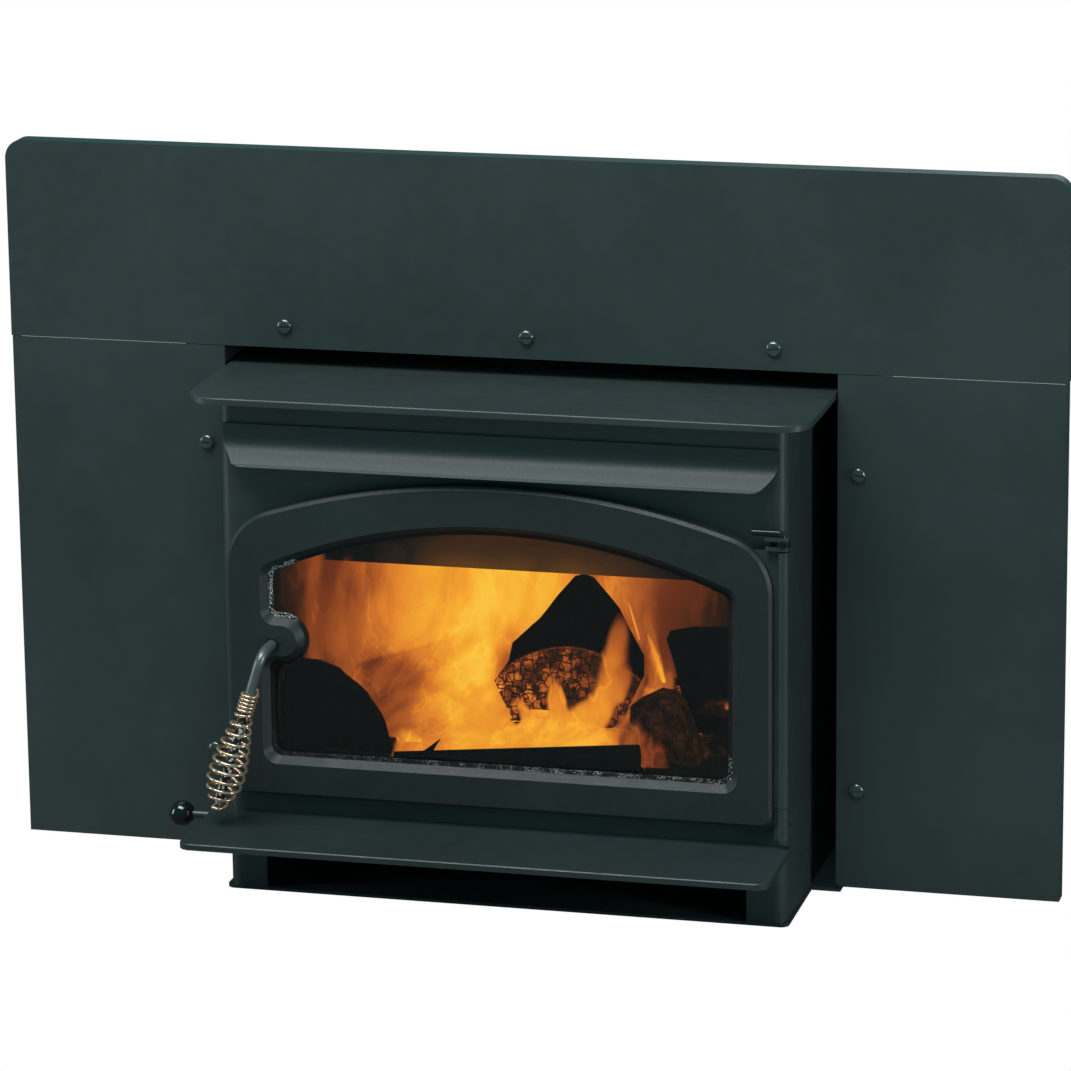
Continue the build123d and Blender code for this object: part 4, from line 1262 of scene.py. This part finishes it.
GLOWS = (
    # left edge, dark at the wall
    Glow(-0.272, 0.240, 0.06, tall=0.05), Glow(-0.278, 0.170, 0.05, tall=0.03),
    # brown wisps over the left log
    Glow(-0.250, 0.262, 0.38), Glow(-0.252, 0.222, 0.33), Glow(-0.222, 0.250, 0.44),
    Glow(-0.222, 0.205, 0.47), Glow(-0.190, 0.255, 0.48), Glow(-0.190, 0.200, 0.58),
    # amber middle
    Glow(-0.158, 0.262, 0.62), Glow(-0.155, 0.215, 0.66), Glow(-0.120, 0.255, 0.78),
    Glow(-0.115, 0.195, 0.80), Glow(-0.075, 0.262, 0.84), Glow(-0.075, 0.215, 0.90, 0.04, 0.035),
    Glow(-0.022, 0.262, 0.82), Glow(-0.020, 0.235, 0.80),
    # bright plume down to the embers
    Glow(-0.078, 0.170, 0.93, 0.022, 0.03), Glow(-0.080, 0.125, 0.84, 0.03, 0.025),
    Glow(-0.105, 0.145, 0.84, 0.02, 0.03),
    # red pocket behind the left log's shoulder
    Glow(-0.178, 0.160, 0.54, 0.02, 0.02), Glow(-0.160, 0.142, 0.47, 0.024, 0.020),
    Glow(-0.154, 0.115, 0.44, 0.022, 0.022), Glow(-0.175, 0.131, 0.24, 0.014, 0.018),
    Glow(-0.130, 0.130, 0.64, 0.014, 0.03), Glow(-0.132, 0.100, 0.70, 0.018, 0.02),
    # behind and beyond the upright log
    Glow(-0.045, 0.170, 0.44, 0.016, 0.03), Glow(0.010, 0.110, 0.80, 0.05, 0.016),
    Glow(0.040, 0.266, 0.56), Glow(0.076, 0.260, 0.55), Glow(0.078, 0.215, 0.44),
    Glow(0.105, 0.255, 0.43), Glow(0.108, 0.215, 0.38), Glow(0.104, 0.175, 0.44),
    Glow(0.135, 0.262, 0.40), Glow(0.140, 0.232, 0.30), Glow(0.168, 0.240, 0.10, tall=0.04),
    Glow(0.150, 0.180, 0.10, tall=0.04), Glow(0.080, 0.150, 0.60), Glow(0.095, 0.120, 0.42),
)

# The upper edge of a log that lies at the very back, seen faintly through the flames.
LEDGE_LEFT = (-0.212, 0.164)
LEDGE_RIGHT = (-0.066, 0.212)
LEDGE_DROP = 0.12


def fire_heat(point: Vector) -> float:
    """The fire's heat at a point of a sheet.

    Args:
        point: The point.

    Returns:
        0 for dark to 1 for the brightest yellow.
    """
    x, z = seen_at(point)
    weights = [glow.weight(x, z) + 1e-6 for glow in GLOWS]
    heat = sum(w * glow.heat for w, glow in zip(weights, GLOWS)) / sum(weights)
    (x0, z0), (x1, z1) = LEDGE_LEFT, LEDGE_RIGHT
    share = (x - x0) / (x1 - x0)
    below = smooth_step(0.0, 0.003, z0 + share * (z1 - z0) - z)
    faint = smooth_step(0.0, 0.15, share) * smooth_step(1.0, 0.6, share)
    return heat - LEDGE_DROP * below * faint * smooth_step(0.06, 0.0, z0 + share * (z1 - z0) - z)


def flame_piece(
    name: str,
    rows: Sequence[Sequence[tuple[Vector, float, float]]],
    material: bpy.types.Material,
) -> bpy.types.Object:
    """Makes a sheet from rows of points with their heat and cover.

    Args:
        name: The piece's name.
        rows: Rows of (point, heat, cover), all of one length.
        material: Its flame finish.

    Returns:
        The sheet, riding on the shell.
    """
    mesh = bmesh.new()
    bmesh.ops.create_grid(mesh, x_segments=len(rows[0]) - 1, y_segments=len(rows) - 1)
    heat = mesh.verts.layers.float.new(HEAT)
    cover = mesh.verts.layers.float.new(COVER)
    for vert, (point, hot, thick) in zip(mesh.verts, (entry for row in rows for entry in row)):
        vert.co = point
        vert[heat], vert[cover] = hot, thick
    piece = new_object(name, mesh, material)
    piece.visible_diffuse = False
    piece.visible_glossy = False
    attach(piece, Body.SHELL.value)
    return piece


def along(points: Sequence[Point], share: float) -> Vector:
    """Follows a smooth line through points.

    Args:
        points: The points.
        share: How far along, from 0 to 1, with every step between points the same share.

    Returns:
        The point there.
    """
    last = len(points) - 1
    at = min(share * last, last - 1e-6)
    i = int(at)
    t = at - i
    p0, p1, p2, p3 = (Vector(points[min(max(k, 0), last)]) for k in (i - 1, i, i + 1, i + 2))
    return 0.5 * (
        2 * p1 + (p2 - p0) * t + (2 * p0 - 5 * p1 + 4 * p2 - p3) * t**2
        + (3 * p1 - p0 - 3 * p2 + p3) * t**3
    )


@dataclass(frozen=True)
class Curtain:
    """The sheet of flame that rises behind the logs and meets the baffle.

    Attributes:
        plan: Its line seen from above: along the left wall, across, and down the right wall.
        foot: Height of its foot, in metres.
        head: Height of its head.
        steps: Steps between its vertices, along its line and up.
        sway: How far noise bends it, in metres.
    """

    plan: tuple[Point, ...] = (
        (-0.232, -0.035, 0.0), (-0.222, 0.060, 0.0), (-0.190, 0.160, 0.0),
        (-0.110, 0.215, 0.0), (0.0, 0.225, 0.0), (0.110, 0.222, 0.0),
        (0.190, 0.205, 0.0), (0.230, 0.130, 0.0),
    )
    foot: float = 0.135
    head: float = 0.2955
    steps: tuple[int, int] = (180, 60)
    sway: float = 0.010

    def build(self, material: bpy.types.Material) -> bpy.types.Object:
        """Models the sheet.

        Args:
            material: Its finish.

        Returns:
            The sheet, riding on the shell.
        """
        along_steps, up_steps = self.steps
        rows = []
        for k in range(up_steps + 1):
            z = self.foot + (self.head - self.foot) * k / up_steps
            row = []
            for i in range(along_steps + 1):
                point = along(self.plan, i / along_steps)
                point.y += self.sway * noise.noise(Vector((point.x * 14.0, 3.0, z * 9.0)))
                point.z = z
                hot = fire_heat(point)
                row.append((point, hot, 0.25 + 2.2 * hot))
            rows.append(row)
        return flame_piece("flame_curtain", rows, material)


# Gaps in the fire at the upright log's foot: x and z as seen_at() gives them, reach across and up.
FIRE_GAPS = ((-0.040, 0.124, 0.007, 0.012), (0.050, 0.126, 0.012, 0.012),
             (0.006, 0.118, 0.004, 0.006))


def gap_in_fire(point: Vector) -> float:
    """Thins the slope out in the gaps.

    Args:
        point: A point of the sheet.

    Returns:
        How much of its cover is missing there.
    """
    x, z = seen_at(point)
    return sum(
        2.2 * math.exp(-(((x - gap_x) / wide) ** 2) - ((z - gap_z) / tall) ** 2)
        for gap_x, gap_z, wide, tall in FIRE_GAPS
    )


@dataclass(frozen=True)
class Slope:
    """The sheet that leans from the curtain down to the log in front.

    Attributes:
        left: x of its left side, in metres.
        wide: Its width.
        front: y of its front edge.
        depth: How far back it reaches.
        foot: Height of its front part.
        rise: How much higher its back is.
        drop: How much lower its front edge is.
        steps: Steps between its vertices, across and back.
    """

    left: float = -0.205
    wide: float = 0.305
    front: float = -0.062
    depth: float = 0.278
    foot: float = 0.1362
    rise: float = 0.083
    drop: float = 0.010
    steps: tuple[int, int] = (120, 60)

    def build(self, material: bpy.types.Material) -> bpy.types.Object:
        """Models the sheet, which thins out at its edges and in front of the left log.

        Args:
            material: Its finish.

        Returns:
            The sheet, riding on the shell.
        """
        across_steps, back_steps = self.steps
        rows = []
        for k in range(back_steps + 1):
            share = k / back_steps
            row = []
            for i in range(across_steps + 1):
                across = i / across_steps
                x = self.left + self.wide * across
                z = self.foot + 0.0015 * noise.noise(Vector((x * 30.0, share * 6.0, 1.0)))
                z += self.rise * share**2.2 - self.drop * smooth_step(0.05, 0.0, share)
                point = Vector((x, self.front + self.depth * share, z))
                edge = smooth_step(0.0, 0.03, across) * smooth_step(1.0, 0.92, across)
                fade = smooth_step(1.0, 0.72, share)
                clear = max(smooth_step(-0.124, -0.112, x), smooth_step(-0.040, -0.030, point.y))
                hot = fire_heat(point)
                cover = (0.3 + 1.6 * hot) * edge * fade * clear
                row.append((point, hot, cover - gap_in_fire(point)))
            rows.append(row)
        return flame_piece("flame_slope", rows, material)


# Steps along a lick's middle line.
LICK_SAMPLES = 20


@dataclass(frozen=True)
class Lick:
    """A lick of flame on a sheet.

    Attributes:
        line: Its middle line from the foot up, as (x, z).
        widths: Its half width at even steps along the line.
        foot: Heat at its foot.
        tip: Heat at its tip.
        body: How solid it is, from 0 to 1.
        edge: Share of its half width over which it fades out.
        fade: Share of its length, from the tip, over which it thins out.
    """

    line: tuple[tuple[float, float], ...]
    widths: tuple[float, ...]
    foot: float
    tip: float
    body: float = 1.0
    edge: float = 0.75
    fade: float = 0.35

    def at(self, x: float, z: float) -> tuple[float, float, float]:
        """Measures the lick at a point.

        Args:
            x: The point's place across.
            z: Its height.

        Returns:
            How solid the lick is there, how hot, and how much say it has in the heat.
        """
        best, nearest = 9.0, 0.0
        pairs = zip(self._samples, self._samples[1:])
        for (ax, az, ahalf, ashare), (bx, bz, bhalf, bshare) in pairs:
            run, rise = bx - ax, bz - az
            t = ((x - ax) * run + (z - az) * rise) / max(run * run + rise * rise, 1e-12)
            t = min(1.0, max(0.0, t))
            ratio = math.hypot(x - ax - run * t, z - az - rise * t) / (ahalf + (bhalf - ahalf) * t)
            if ratio < best:
                best, nearest = ratio, ashare + (bshare - ashare) * t
        solid = smooth_step(1.0, 1.0 - self.edge, best) * self.body
        solid *= 1.0 - smooth_step(1.0 - self.fade, 1.0, nearest)
        hot = self.foot + (self.tip - self.foot) * nearest - 0.20 * min(1.0, best) ** 2
        return solid, hot, math.exp(-min(best, 3.0) ** 2 * 1.6)

    @cached_property
    def _samples(self) -> list[tuple[float, float, float, float]]:
        """Samples the middle line in even steps.

        Returns:
            The x, z, half width and share of each sample.
        """
        samples = []
        for k in range(LICK_SAMPLES + 1):
            share = k / LICK_SAMPLES
            point = along([(x, 0.0, z) for x, z in self.line], share)
            half = along([(w, 0.0, 0.0) for w in self.widths], share).x
            samples.append((point.x, point.z, max(half, 0.0006), share))
        return samples


@dataclass(frozen=True)
class FlameSheet:
    """A sheet that carries licks of flame in front of the logs.

    Attributes:
        name: Its name.
        y: Where it stands.
        low: Its lower left corner, as (x, z).
        high: Its upper right corner, as (x, z).
        licks: Its licks.
        sway: How far noise bends the licks, in metres.
        step: Spacing of its vertices, in metres.
    """

    name: str
    y: float
    low: tuple[float, float]
    high: tuple[float, float]
    licks: tuple[Lick, ...]
    sway: float = 0.004
    step: float = 0.0018

    def build(self, material: bpy.types.Material) -> bpy.types.Object:
        """Models the sheet on a grid fine enough for the licks' edges.

        Args:
            material: Its finish.

        Returns:
            The sheet, riding on the shell.
        """
        step = self.step
        across = round((self.high[0] - self.low[0]) / step)
        up = round((self.high[1] - self.low[1]) / step)
        rows = []
        for k in range(up + 1):
            z = self.low[1] + step * k
            rows.append([self._vertex(self.low[0] + step * i, z) for i in range(across + 1)])
        return flame_piece("flame_" + self.name, rows, material)

    def _vertex(self, x: float, z: float) -> tuple[Vector, float, float]:
        """Works out one vertex.

        Args:
            x: Its place across.
            z: Its height.

        Returns:
            The point with its heat and cover.
        """
        bend_x = noise.noise(Vector((x * 28.0, z * 16.0, self.y * 50.0)))
        fine_x = noise.noise(Vector((x * 90.0, z * 45.0, self.y * 50.0 + 7.0)))
        bend_z = noise.noise(Vector((x * 40.0, z * 20.0, self.y * 50.0 + 3.0)))
        px = x + self.sway * (bend_x + 0.35 * fine_x)
        pz = z + self.sway * 1.5 * bend_z
        clear, total, weight = 1.0, 0.0, 0.0
        for lick in self.licks:
            solid, hot, say = lick.at(px, pz)
            clear *= 1.0 - min(1.0, solid)
            total += hot * say
            weight += say
        depth = 0.003 * bend_z
        return Vector((x, self.y + depth, z)), total / weight, 1.25 * (1.0 - clear) - 0.25


FLAME_SHEETS = (
    FlameSheet("front", 0.030, (-0.062, 0.118), (0.150, 0.290), (
        # along the foot of the upright log
        Lick(((-0.004, 0.132), (0.014, 0.134), (0.034, 0.130), (0.052, 0.122)),
             (0.022, 0.021, 0.020, 0.016), 0.83, 0.81, fade=0.1),
        # tall flame in front of it, bright at its foot and brown towards its tip
        Lick(((0.040, 0.122), (0.0474, 0.146), (0.0604, 0.163), (0.070, 0.180)),
             (0.022, 0.021, 0.019, 0.016), 0.86, 0.78, fade=0.5),
        Lick(((0.054, 0.144), (0.066, 0.172), (0.075, 0.196), (0.080, 0.221), (0.082, 0.246),
              (0.080, 0.276)), (0.020, 0.026, 0.026, 0.018, 0.014, 0.009), 0.74, 0.44, 0.86,
             0.9, 0.32),
        Lick(((0.078, 0.166), (0.084, 0.184), (0.092, 0.204)), (0.012, 0.011, 0.005),
             0.70, 0.52, 0.85, 0.9, 0.5),
        # middle flame
        Lick(((0.028, 0.124), (0.023, 0.141), (0.018, 0.162), (0.0135, 0.181), (0.008, 0.207)),
             (0.021, 0.016, 0.014, 0.012, 0.006), 0.86, 0.54, fade=0.45),
        # small one at the left foot
        Lick(((-0.006, 0.124), (-0.011, 0.141), (-0.018, 0.157), (-0.025, 0.176)),
             (0.017, 0.012, 0.009, 0.005), 0.84, 0.60, fade=0.45),
        # to the right of the upright log
        Lick(((0.104, 0.150), (0.109, 0.172), (0.114, 0.190), (0.113, 0.214)),
             (0.018, 0.016, 0.013, 0.008), 0.70, 0.52, 0.9, 0.9, 0.5),
        Lick(((0.116, 0.160), (0.121, 0.180), (0.127, 0.200), (0.124, 0.226)),
             (0.020, 0.018, 0.014, 0.009), 0.58, 0.42, 0.85, 0.9, 0.5),
    )),
    # splinter that leans beside the upright log, with two bright edges
    FlameSheet("splinter", 0.028, (0.076, 0.176), (0.136, 0.284), (
        Lick(((0.121, 0.192), (0.114, 0.222), (0.107, 0.250), (0.103, 0.280)),
             (0.008, 0.012, 0.015, 0.015), 0.66, 0.60, 0.62, 0.9),
        Lick(((0.112, 0.186), (0.110, 0.206), (0.105, 0.230)), (0.008, 0.009, 0.006),
             0.50, 0.46, 0.75, 0.8, 0.2),
        Lick(((0.0995, 0.229), (0.0977, 0.236), (0.092, 0.255), (0.0865, 0.2735)),
             (0.0024, 0.0024, 0.0022, 0.0014), 0.92, 0.86, 1.0, 0.9, 0.3),
        Lick(((0.123, 0.189), (0.119, 0.202), (0.1147, 0.2158), (0.1080, 0.234)),
             (0.0028, 0.0036, 0.0034, 0.0016), 1.08, 1.0, 1.0, 0.9, 0.2),
    ), 0.0006, 0.0009),
    FlameSheet("lean", -0.030, (0.076, 0.118), (0.160, 0.212), (
        Lick(((0.112, 0.104), (0.109, 0.134), (0.107, 0.160), (0.106, 0.196)),
             (0.024, 0.023, 0.019, 0.011), 0.50, 0.46, 0.84, 0.75, 0.6),
        Lick(((0.134, 0.104), (0.130, 0.132), (0.126, 0.168)), (0.018, 0.017, 0.011),
             0.36, 0.32, 0.66, 0.8, 0.5),
    ), 0.003),
    FlameSheet("shoulder", -0.046, (-0.150, 0.118), (-0.074, 0.182), (
        Lick(((-0.088, 0.114), (-0.098, 0.130), (-0.112, 0.146), (-0.127, 0.164)),
             (0.026, 0.022, 0.016, 0.008), 0.84, 0.70, 0.8, 0.95, 0.6),
    ), 0.003),
    FlameSheet("crest", -0.006, (-0.246, 0.200), (-0.140, 0.338), (
        Lick(((-0.208, 0.196), (-0.209, 0.240), (-0.208, 0.280), (-0.200, 0.334)),
             (0.022, 0.024, 0.023, 0.018), 0.50, 0.47, 0.80, 0.98, 0.15),
        Lick(((-0.186, 0.214), (-0.184, 0.250), (-0.178, 0.286), (-0.166, 0.322)),
             (0.020, 0.022, 0.018, 0.010), 0.52, 0.44, 0.62, 0.95, 0.35),
    ), 0.006),
)


@dataclass(frozen=True)
class Fire:
    """Every flame.

    Attributes:
        curtain: The sheet at the back.
        slope: The sheet that leans down to the front log.
        sheets: The sheets of licks in front of the logs.
        broad: Finish of the curtain and the slope.
        sharp: Finish of the licks.
    """

    curtain: Curtain = Curtain()
    slope: Slope = Slope()
    sheets: tuple[FlameSheet, ...] = FLAME_SHEETS
    broad: FlameFinish = FlameFinish("flame_sheet", 0.085, 0.05)
    sharp: FlameFinish = FlameFinish("flame_licks", 0.06, 0.07)

    def build(self) -> list[bpy.types.Object]:
        """Models every sheet of flame."""
        broad, sharp = material_of(self.broad), material_of(self.sharp)
        return [self.curtain.build(broad), self.slope.build(broad),
                *(sheet.build(sharp) for sheet in self.sheets)]


# --- studio ---


@dataclass(frozen=True)
class StageFinish(Finish):
    """Plain pale floor: white where the camera sees it, and subdued in reflections."""

    name: str = "stage"

    def build(self) -> bpy.types.Material:
        """Makes the material, in object coordinates.

        Returns:
            The material.
        """
        graph = Graph(self.name)
        place = graph.place()
        tone = graph.mix(graph.noise(place, 2.0), (0.46, 0.46, 0.46), (0.50, 0.50, 0.50))
        path = graph.add("LightPath").outputs
        matte = graph.add("BsdfDiffuse", {"Color": tone}).outputs[0]
        dark = graph.add("BsdfDiffuse", {"Color": (0.10, 0.10, 0.10, 1.0)}).outputs[0]
        white = graph.add("Emission", {"Color": (1.0, 1.0, 1.0, 1.0), "Strength": 1.0}).outputs[0]
        bounced = graph.add("MixShader", {0: path["Is Glossy Ray"], 1: matte, 2: dark}).outputs[0]
        graph.surface(
            graph.add("MixShader", {0: path["Is Camera Ray"], 1: bounced, 2: white}).outputs[0]
        )
        return graph.material


@dataclass(frozen=True)
class SoftBox:
    """A rectangular studio light.

    Attributes:
        name: The light's name.
        place: Where it hangs.
        target: What it points at.
        size: Width and height, in metres.
        power: Watts.
    """

    name: str
    place: Point
    target: Point
    size: tuple[float, float]
    power: float

    def build(self) -> None:
        """Hangs the light."""
        data = bpy.data.lights.new(self.name, "AREA")
        data.shape = "RECTANGLE"
        data.size, data.size_y = self.size
        data.energy = self.power
        lamp = bpy.data.objects.new(self.name, data)
        aim = (Vector(self.target) - Vector(self.place)).to_track_quat("-Z", "Y")
        lamp.matrix_world = Matrix.Translation(self.place) @ aim.to_matrix().to_4x4()
        bpy.context.scene.collection.objects.link(lamp)


@dataclass(frozen=True)
class Studio:
    """The photograph's camera, a pale floor, the world's light and the soft boxes.

    Attributes:
        camera: The fitted camera.
        floor_half: Half the floor's width, in metres.
        floor_drop: How far it lies below the hearth's level.
        world_colour: Colour of the light from all round.
        world_strength: Its strength.
        lights: The soft boxes.
    """

    camera: CameraFit = CAMERA
    floor_half: float = 6.0
    floor_drop: float = 0.0005
    world_colour: Colour = (0.03, 0.97, 1.0)
    world_strength: float = 0.170
    lights: tuple[SoftBox, ...] = (
        SoftBox("overhead", (-0.4, -1.4, 3.0), (0.0, -0.1, 0.3), (2.4, 1.2), 76.0),
        SoftBox("left_edge", (-2.6, -0.9, 0.6), (-0.3, -0.1, 0.35), (0.5, 1.4), 14.5),
        SoftBox("right_edge", (2.6, -0.9, 0.6), (0.3, -0.1, 0.35), (0.5, 1.4), 19.5),
        SoftBox("rear_fill", (0.8, 3.2, 2.6), (0.0, 0.3, 0.3), (2.4, 1.2), 24.0),
    )

    def build(self) -> None:
        """Sets the studio up."""
        self._place_camera()
        self._lay_floor()
        self._light_world()
        for light in self.lights:
            light.build()

    def _place_camera(self) -> None:
        """Makes the photograph's camera the scene's own."""
        data = bpy.data.cameras.new("photo_camera")
        data.lens = self.camera.lens
        data.sensor_width = SENSOR_WIDTH
        data.clip_end = 50.0
        camera = bpy.data.objects.new("photo_camera", data)
        camera.matrix_world = self.camera.matrix()
        bpy.context.scene.collection.objects.link(camera)
        bpy.context.scene.camera = camera

    def _lay_floor(self) -> None:
        """Lays the floor just below the base."""
        mesh = bmesh.new()
        bmesh.ops.create_grid(mesh, x_segments=4, y_segments=4, size=self.floor_half)
        bmesh.ops.translate(mesh, verts=mesh.verts, vec=(0.0, 0.0, -self.floor_drop))
        floor = new_object("floor", mesh, material_of(StageFinish()))

    def _light_world(self) -> None:
        """Gives a faint tinted light from all round, and white where the camera looks."""
        world = bpy.data.worlds.new("studio")
        world.use_nodes = True
        nodes = world.node_tree.nodes
        links = world.node_tree.links
        nodes.clear()
        seen = nodes.new("ShaderNodeLightPath")
        fill = nodes.new("ShaderNodeBackground")
        fill.inputs["Color"].default_value = (*self.world_colour, 1.0)
        fill.inputs["Strength"].default_value = self.world_strength
        white = nodes.new("ShaderNodeBackground")
        white.inputs["Color"].default_value = (1.0, 1.0, 1.0, 1.0)
        mixed = nodes.new("ShaderNodeMixShader")
        output = nodes.new("ShaderNodeOutputWorld")
        links.new(seen.outputs["Is Camera Ray"], mixed.inputs[0])
        links.new(fill.outputs[0], mixed.inputs[1])
        links.new(white.outputs[0], mixed.inputs[2])
        links.new(mixed.outputs[0], output.inputs["Surface"])
        bpy.context.scene.world = world


# --- sub-assemblies ---

# Finishes and the CAD nodes that have them.
Dressing = tuple[tuple[Finish, tuple[str, ...]], ...]


@dataclass(frozen=True)
class SubAssembly:
    """CAD nodes that are put together, with their finishes.

    Attributes:
        body: The rigid body that they are on.
        dressing: Each finish with the nodes that have it.
    """

    body: Body
    dressing: Dressing

    def dress(self) -> None:
        """Gives every node of the sub-assembly its finish."""
        for finish, nodes in self.dressing:
            for node in nodes:
                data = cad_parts[node].data
                data.materials.clear()
                data.materials.append(material_of(finish))
                LOG.info("%s: %s in %s", self.body.value, node, finish.name)

    def build(self) -> list[bpy.types.Object]:
        """Models the pieces that are added here, which most sub-assemblies don't have."""
        return []


@dataclass(frozen=True)
class Surround(SubAssembly):
    """The three folded panels, their screws and their nuts."""

    body: Body = Body.SHELL
    dressing: Dressing = (
        (SURROUND_PAINT, ("surround_top_panel", "surround_left_panel", "surround_right_panel")),
        (BLACK_OXIDE, ("surround_screws",)),
        (MILL_STEEL, ("surround_nuts",)),
    )


@dataclass(frozen=True)
class Casing(SubAssembly):
    """The convection casing behind the surround."""

    body: Body = Body.SHELL
    dressing: Dressing = ((CASING_PAINT, ("casing_wrap", "casing_top", "casing_flange")),)


@dataclass(frozen=True)
class FireBody(SubAssembly):
    """The welded body with its top plate, shelf, deflector, collar and air box."""

    body: Body = Body.SHELL
    dressing: Dressing = (
        (BODY_PAINT, ("base_floor", "body_front", "body_rear", "top_plate", "air_box",
                      "firebox_floor")),
        (SHELF_PAINT, ("ash_shelf",)),
        # The deflector's lower lip carries a painted highlight.
        (LipHighlightPaintFinish(), ("air_deflector",)),
        (CAST_PAINT, ("flue_collar",)),
        (BLACK_OXIDE, ("collar_bolts",)),
        (MILL_STEEL, ("latch_keeper", "air_rod_bush")),
    )


@dataclass(frozen=True)
class FixedHinge(SubAssembly):
    """The brackets, pins and washers that the door hangs on."""

    body: Body = Body.SHELL
    dressing: Dressing = (
        (BODY_PAINT, ("lower_hinge_bracket", "upper_hinge_bracket")),
        (HINGE_GLOSS, ("hinge_l_pin", "hinge_washers")),
        (MILL_STEEL, ("lower_hinge_pin",)),
    )


@dataclass(frozen=True)
class Door(SubAssembly):
    """The cast door with its pane, seals, clips and hinge barrel."""

    body: Body = Body.DOOR
    dressing: Dressing = (
        (CAST_PAINT, ("door_frame",)),
        (CeramicPaneFinish(), ("door_glass",)),
        (WINDOW_TAPE, ("glass_gasket",)),
        (DOOR_ROPE, ("door_rope_gasket",)),
        (MILL_STEEL, ("glass_clips",)),
        (BLACK_OXIDE, ("clip_screws",)),
        (BODY_PAINT, ("door_hinge_tube", "door_hinge_leaf")),
    )

    def dress(self) -> None:
        """Gives the finishes, and lets the pane show the fire without lighting the frame."""
        super().dress()
        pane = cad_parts["door_glass"]
        pane.visible_diffuse = False
        pane.visible_glossy = False


@dataclass(frozen=True)
class Handle(SubAssembly):
    """The bent rod with its coil grip, collar, latch tongue and nut."""

    body: Body = Body.HANDLE
    dressing: Dressing = (
        (GripRodFinish(), ("handle_shaft",)),
        (COIL_WIRE, ("handle_coil",)),
        # The collar's glossy black is painted shade, in place of the shadowed gap round the rod's
        # entry.
        (HINGE_GLOSS, ("shaft_collar",)),
        (MILL_STEEL, ("shaft_spacer", "latch_tongue")),
        (BLACK_OXIDE, ("shaft_nut",)),
    )


@dataclass(frozen=True)
class AirControl(SubAssembly):
    """The sliding rod with its ball and damper."""

    body: Body = Body.AIR
    dressing: Dressing = (
        (AIR_ROD_STEEL, ("air_control_rod",)),
        (BallKnobFinish(), ("air_control_knob",)),
        (MILL_STEEL, ("air_damper",)),
    )


@dataclass(frozen=True)
class FireChamber(SubAssembly):
    """The bricks, baffle and embers, with the charred logs and the fire.

    Attributes:
        logs: The split logs.
        splinter: The splinter on the front log.
        fire: The flames.
    """

    body: Body = Body.SHELL
    dressing: Dressing = (
        (FirebrickFinish(), ("floor_bricks", "left_bricks", "right_bricks", "back_bricks")),
        (BaffleFinish(), ("baffle_board",)),
        (EmberFinish(), ("ember_bed",)),
        (Wood.CHARRED.value, ("log_front",)),
    )
    logs: tuple[SplitLog, ...] = SPLIT_LOGS
    splinter: Splinter = Splinter()
    fire: Fire = Fire()

    def build(self) -> list[bpy.types.Object]:
        """Models the logs, the splinter and the fire."""
        return [*(log.build() for log in self.logs), self.splinter.build(), *self.fire.build()]


SUB_ASSEMBLIES = (
    Surround(), Casing(), FireBody(), FixedHinge(), Door(), Handle(), AirControl(), FireChamber(),
)


def main() -> None:
    """Builds the whole scene."""
    logging.basicConfig(level=logging.INFO)
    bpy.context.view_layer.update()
    bpy.context.scene.view_settings.view_transform = "Standard"
    Studio().build()
    for assembly in SUB_ASSEMBLIES:
        assembly.dress()
        for piece in assembly.build():
            LOG.info("%s: made %s", assembly.body.value, piece.name)
    bpy.context.view_layer.update()


if __name__ == "__main__":
    main()
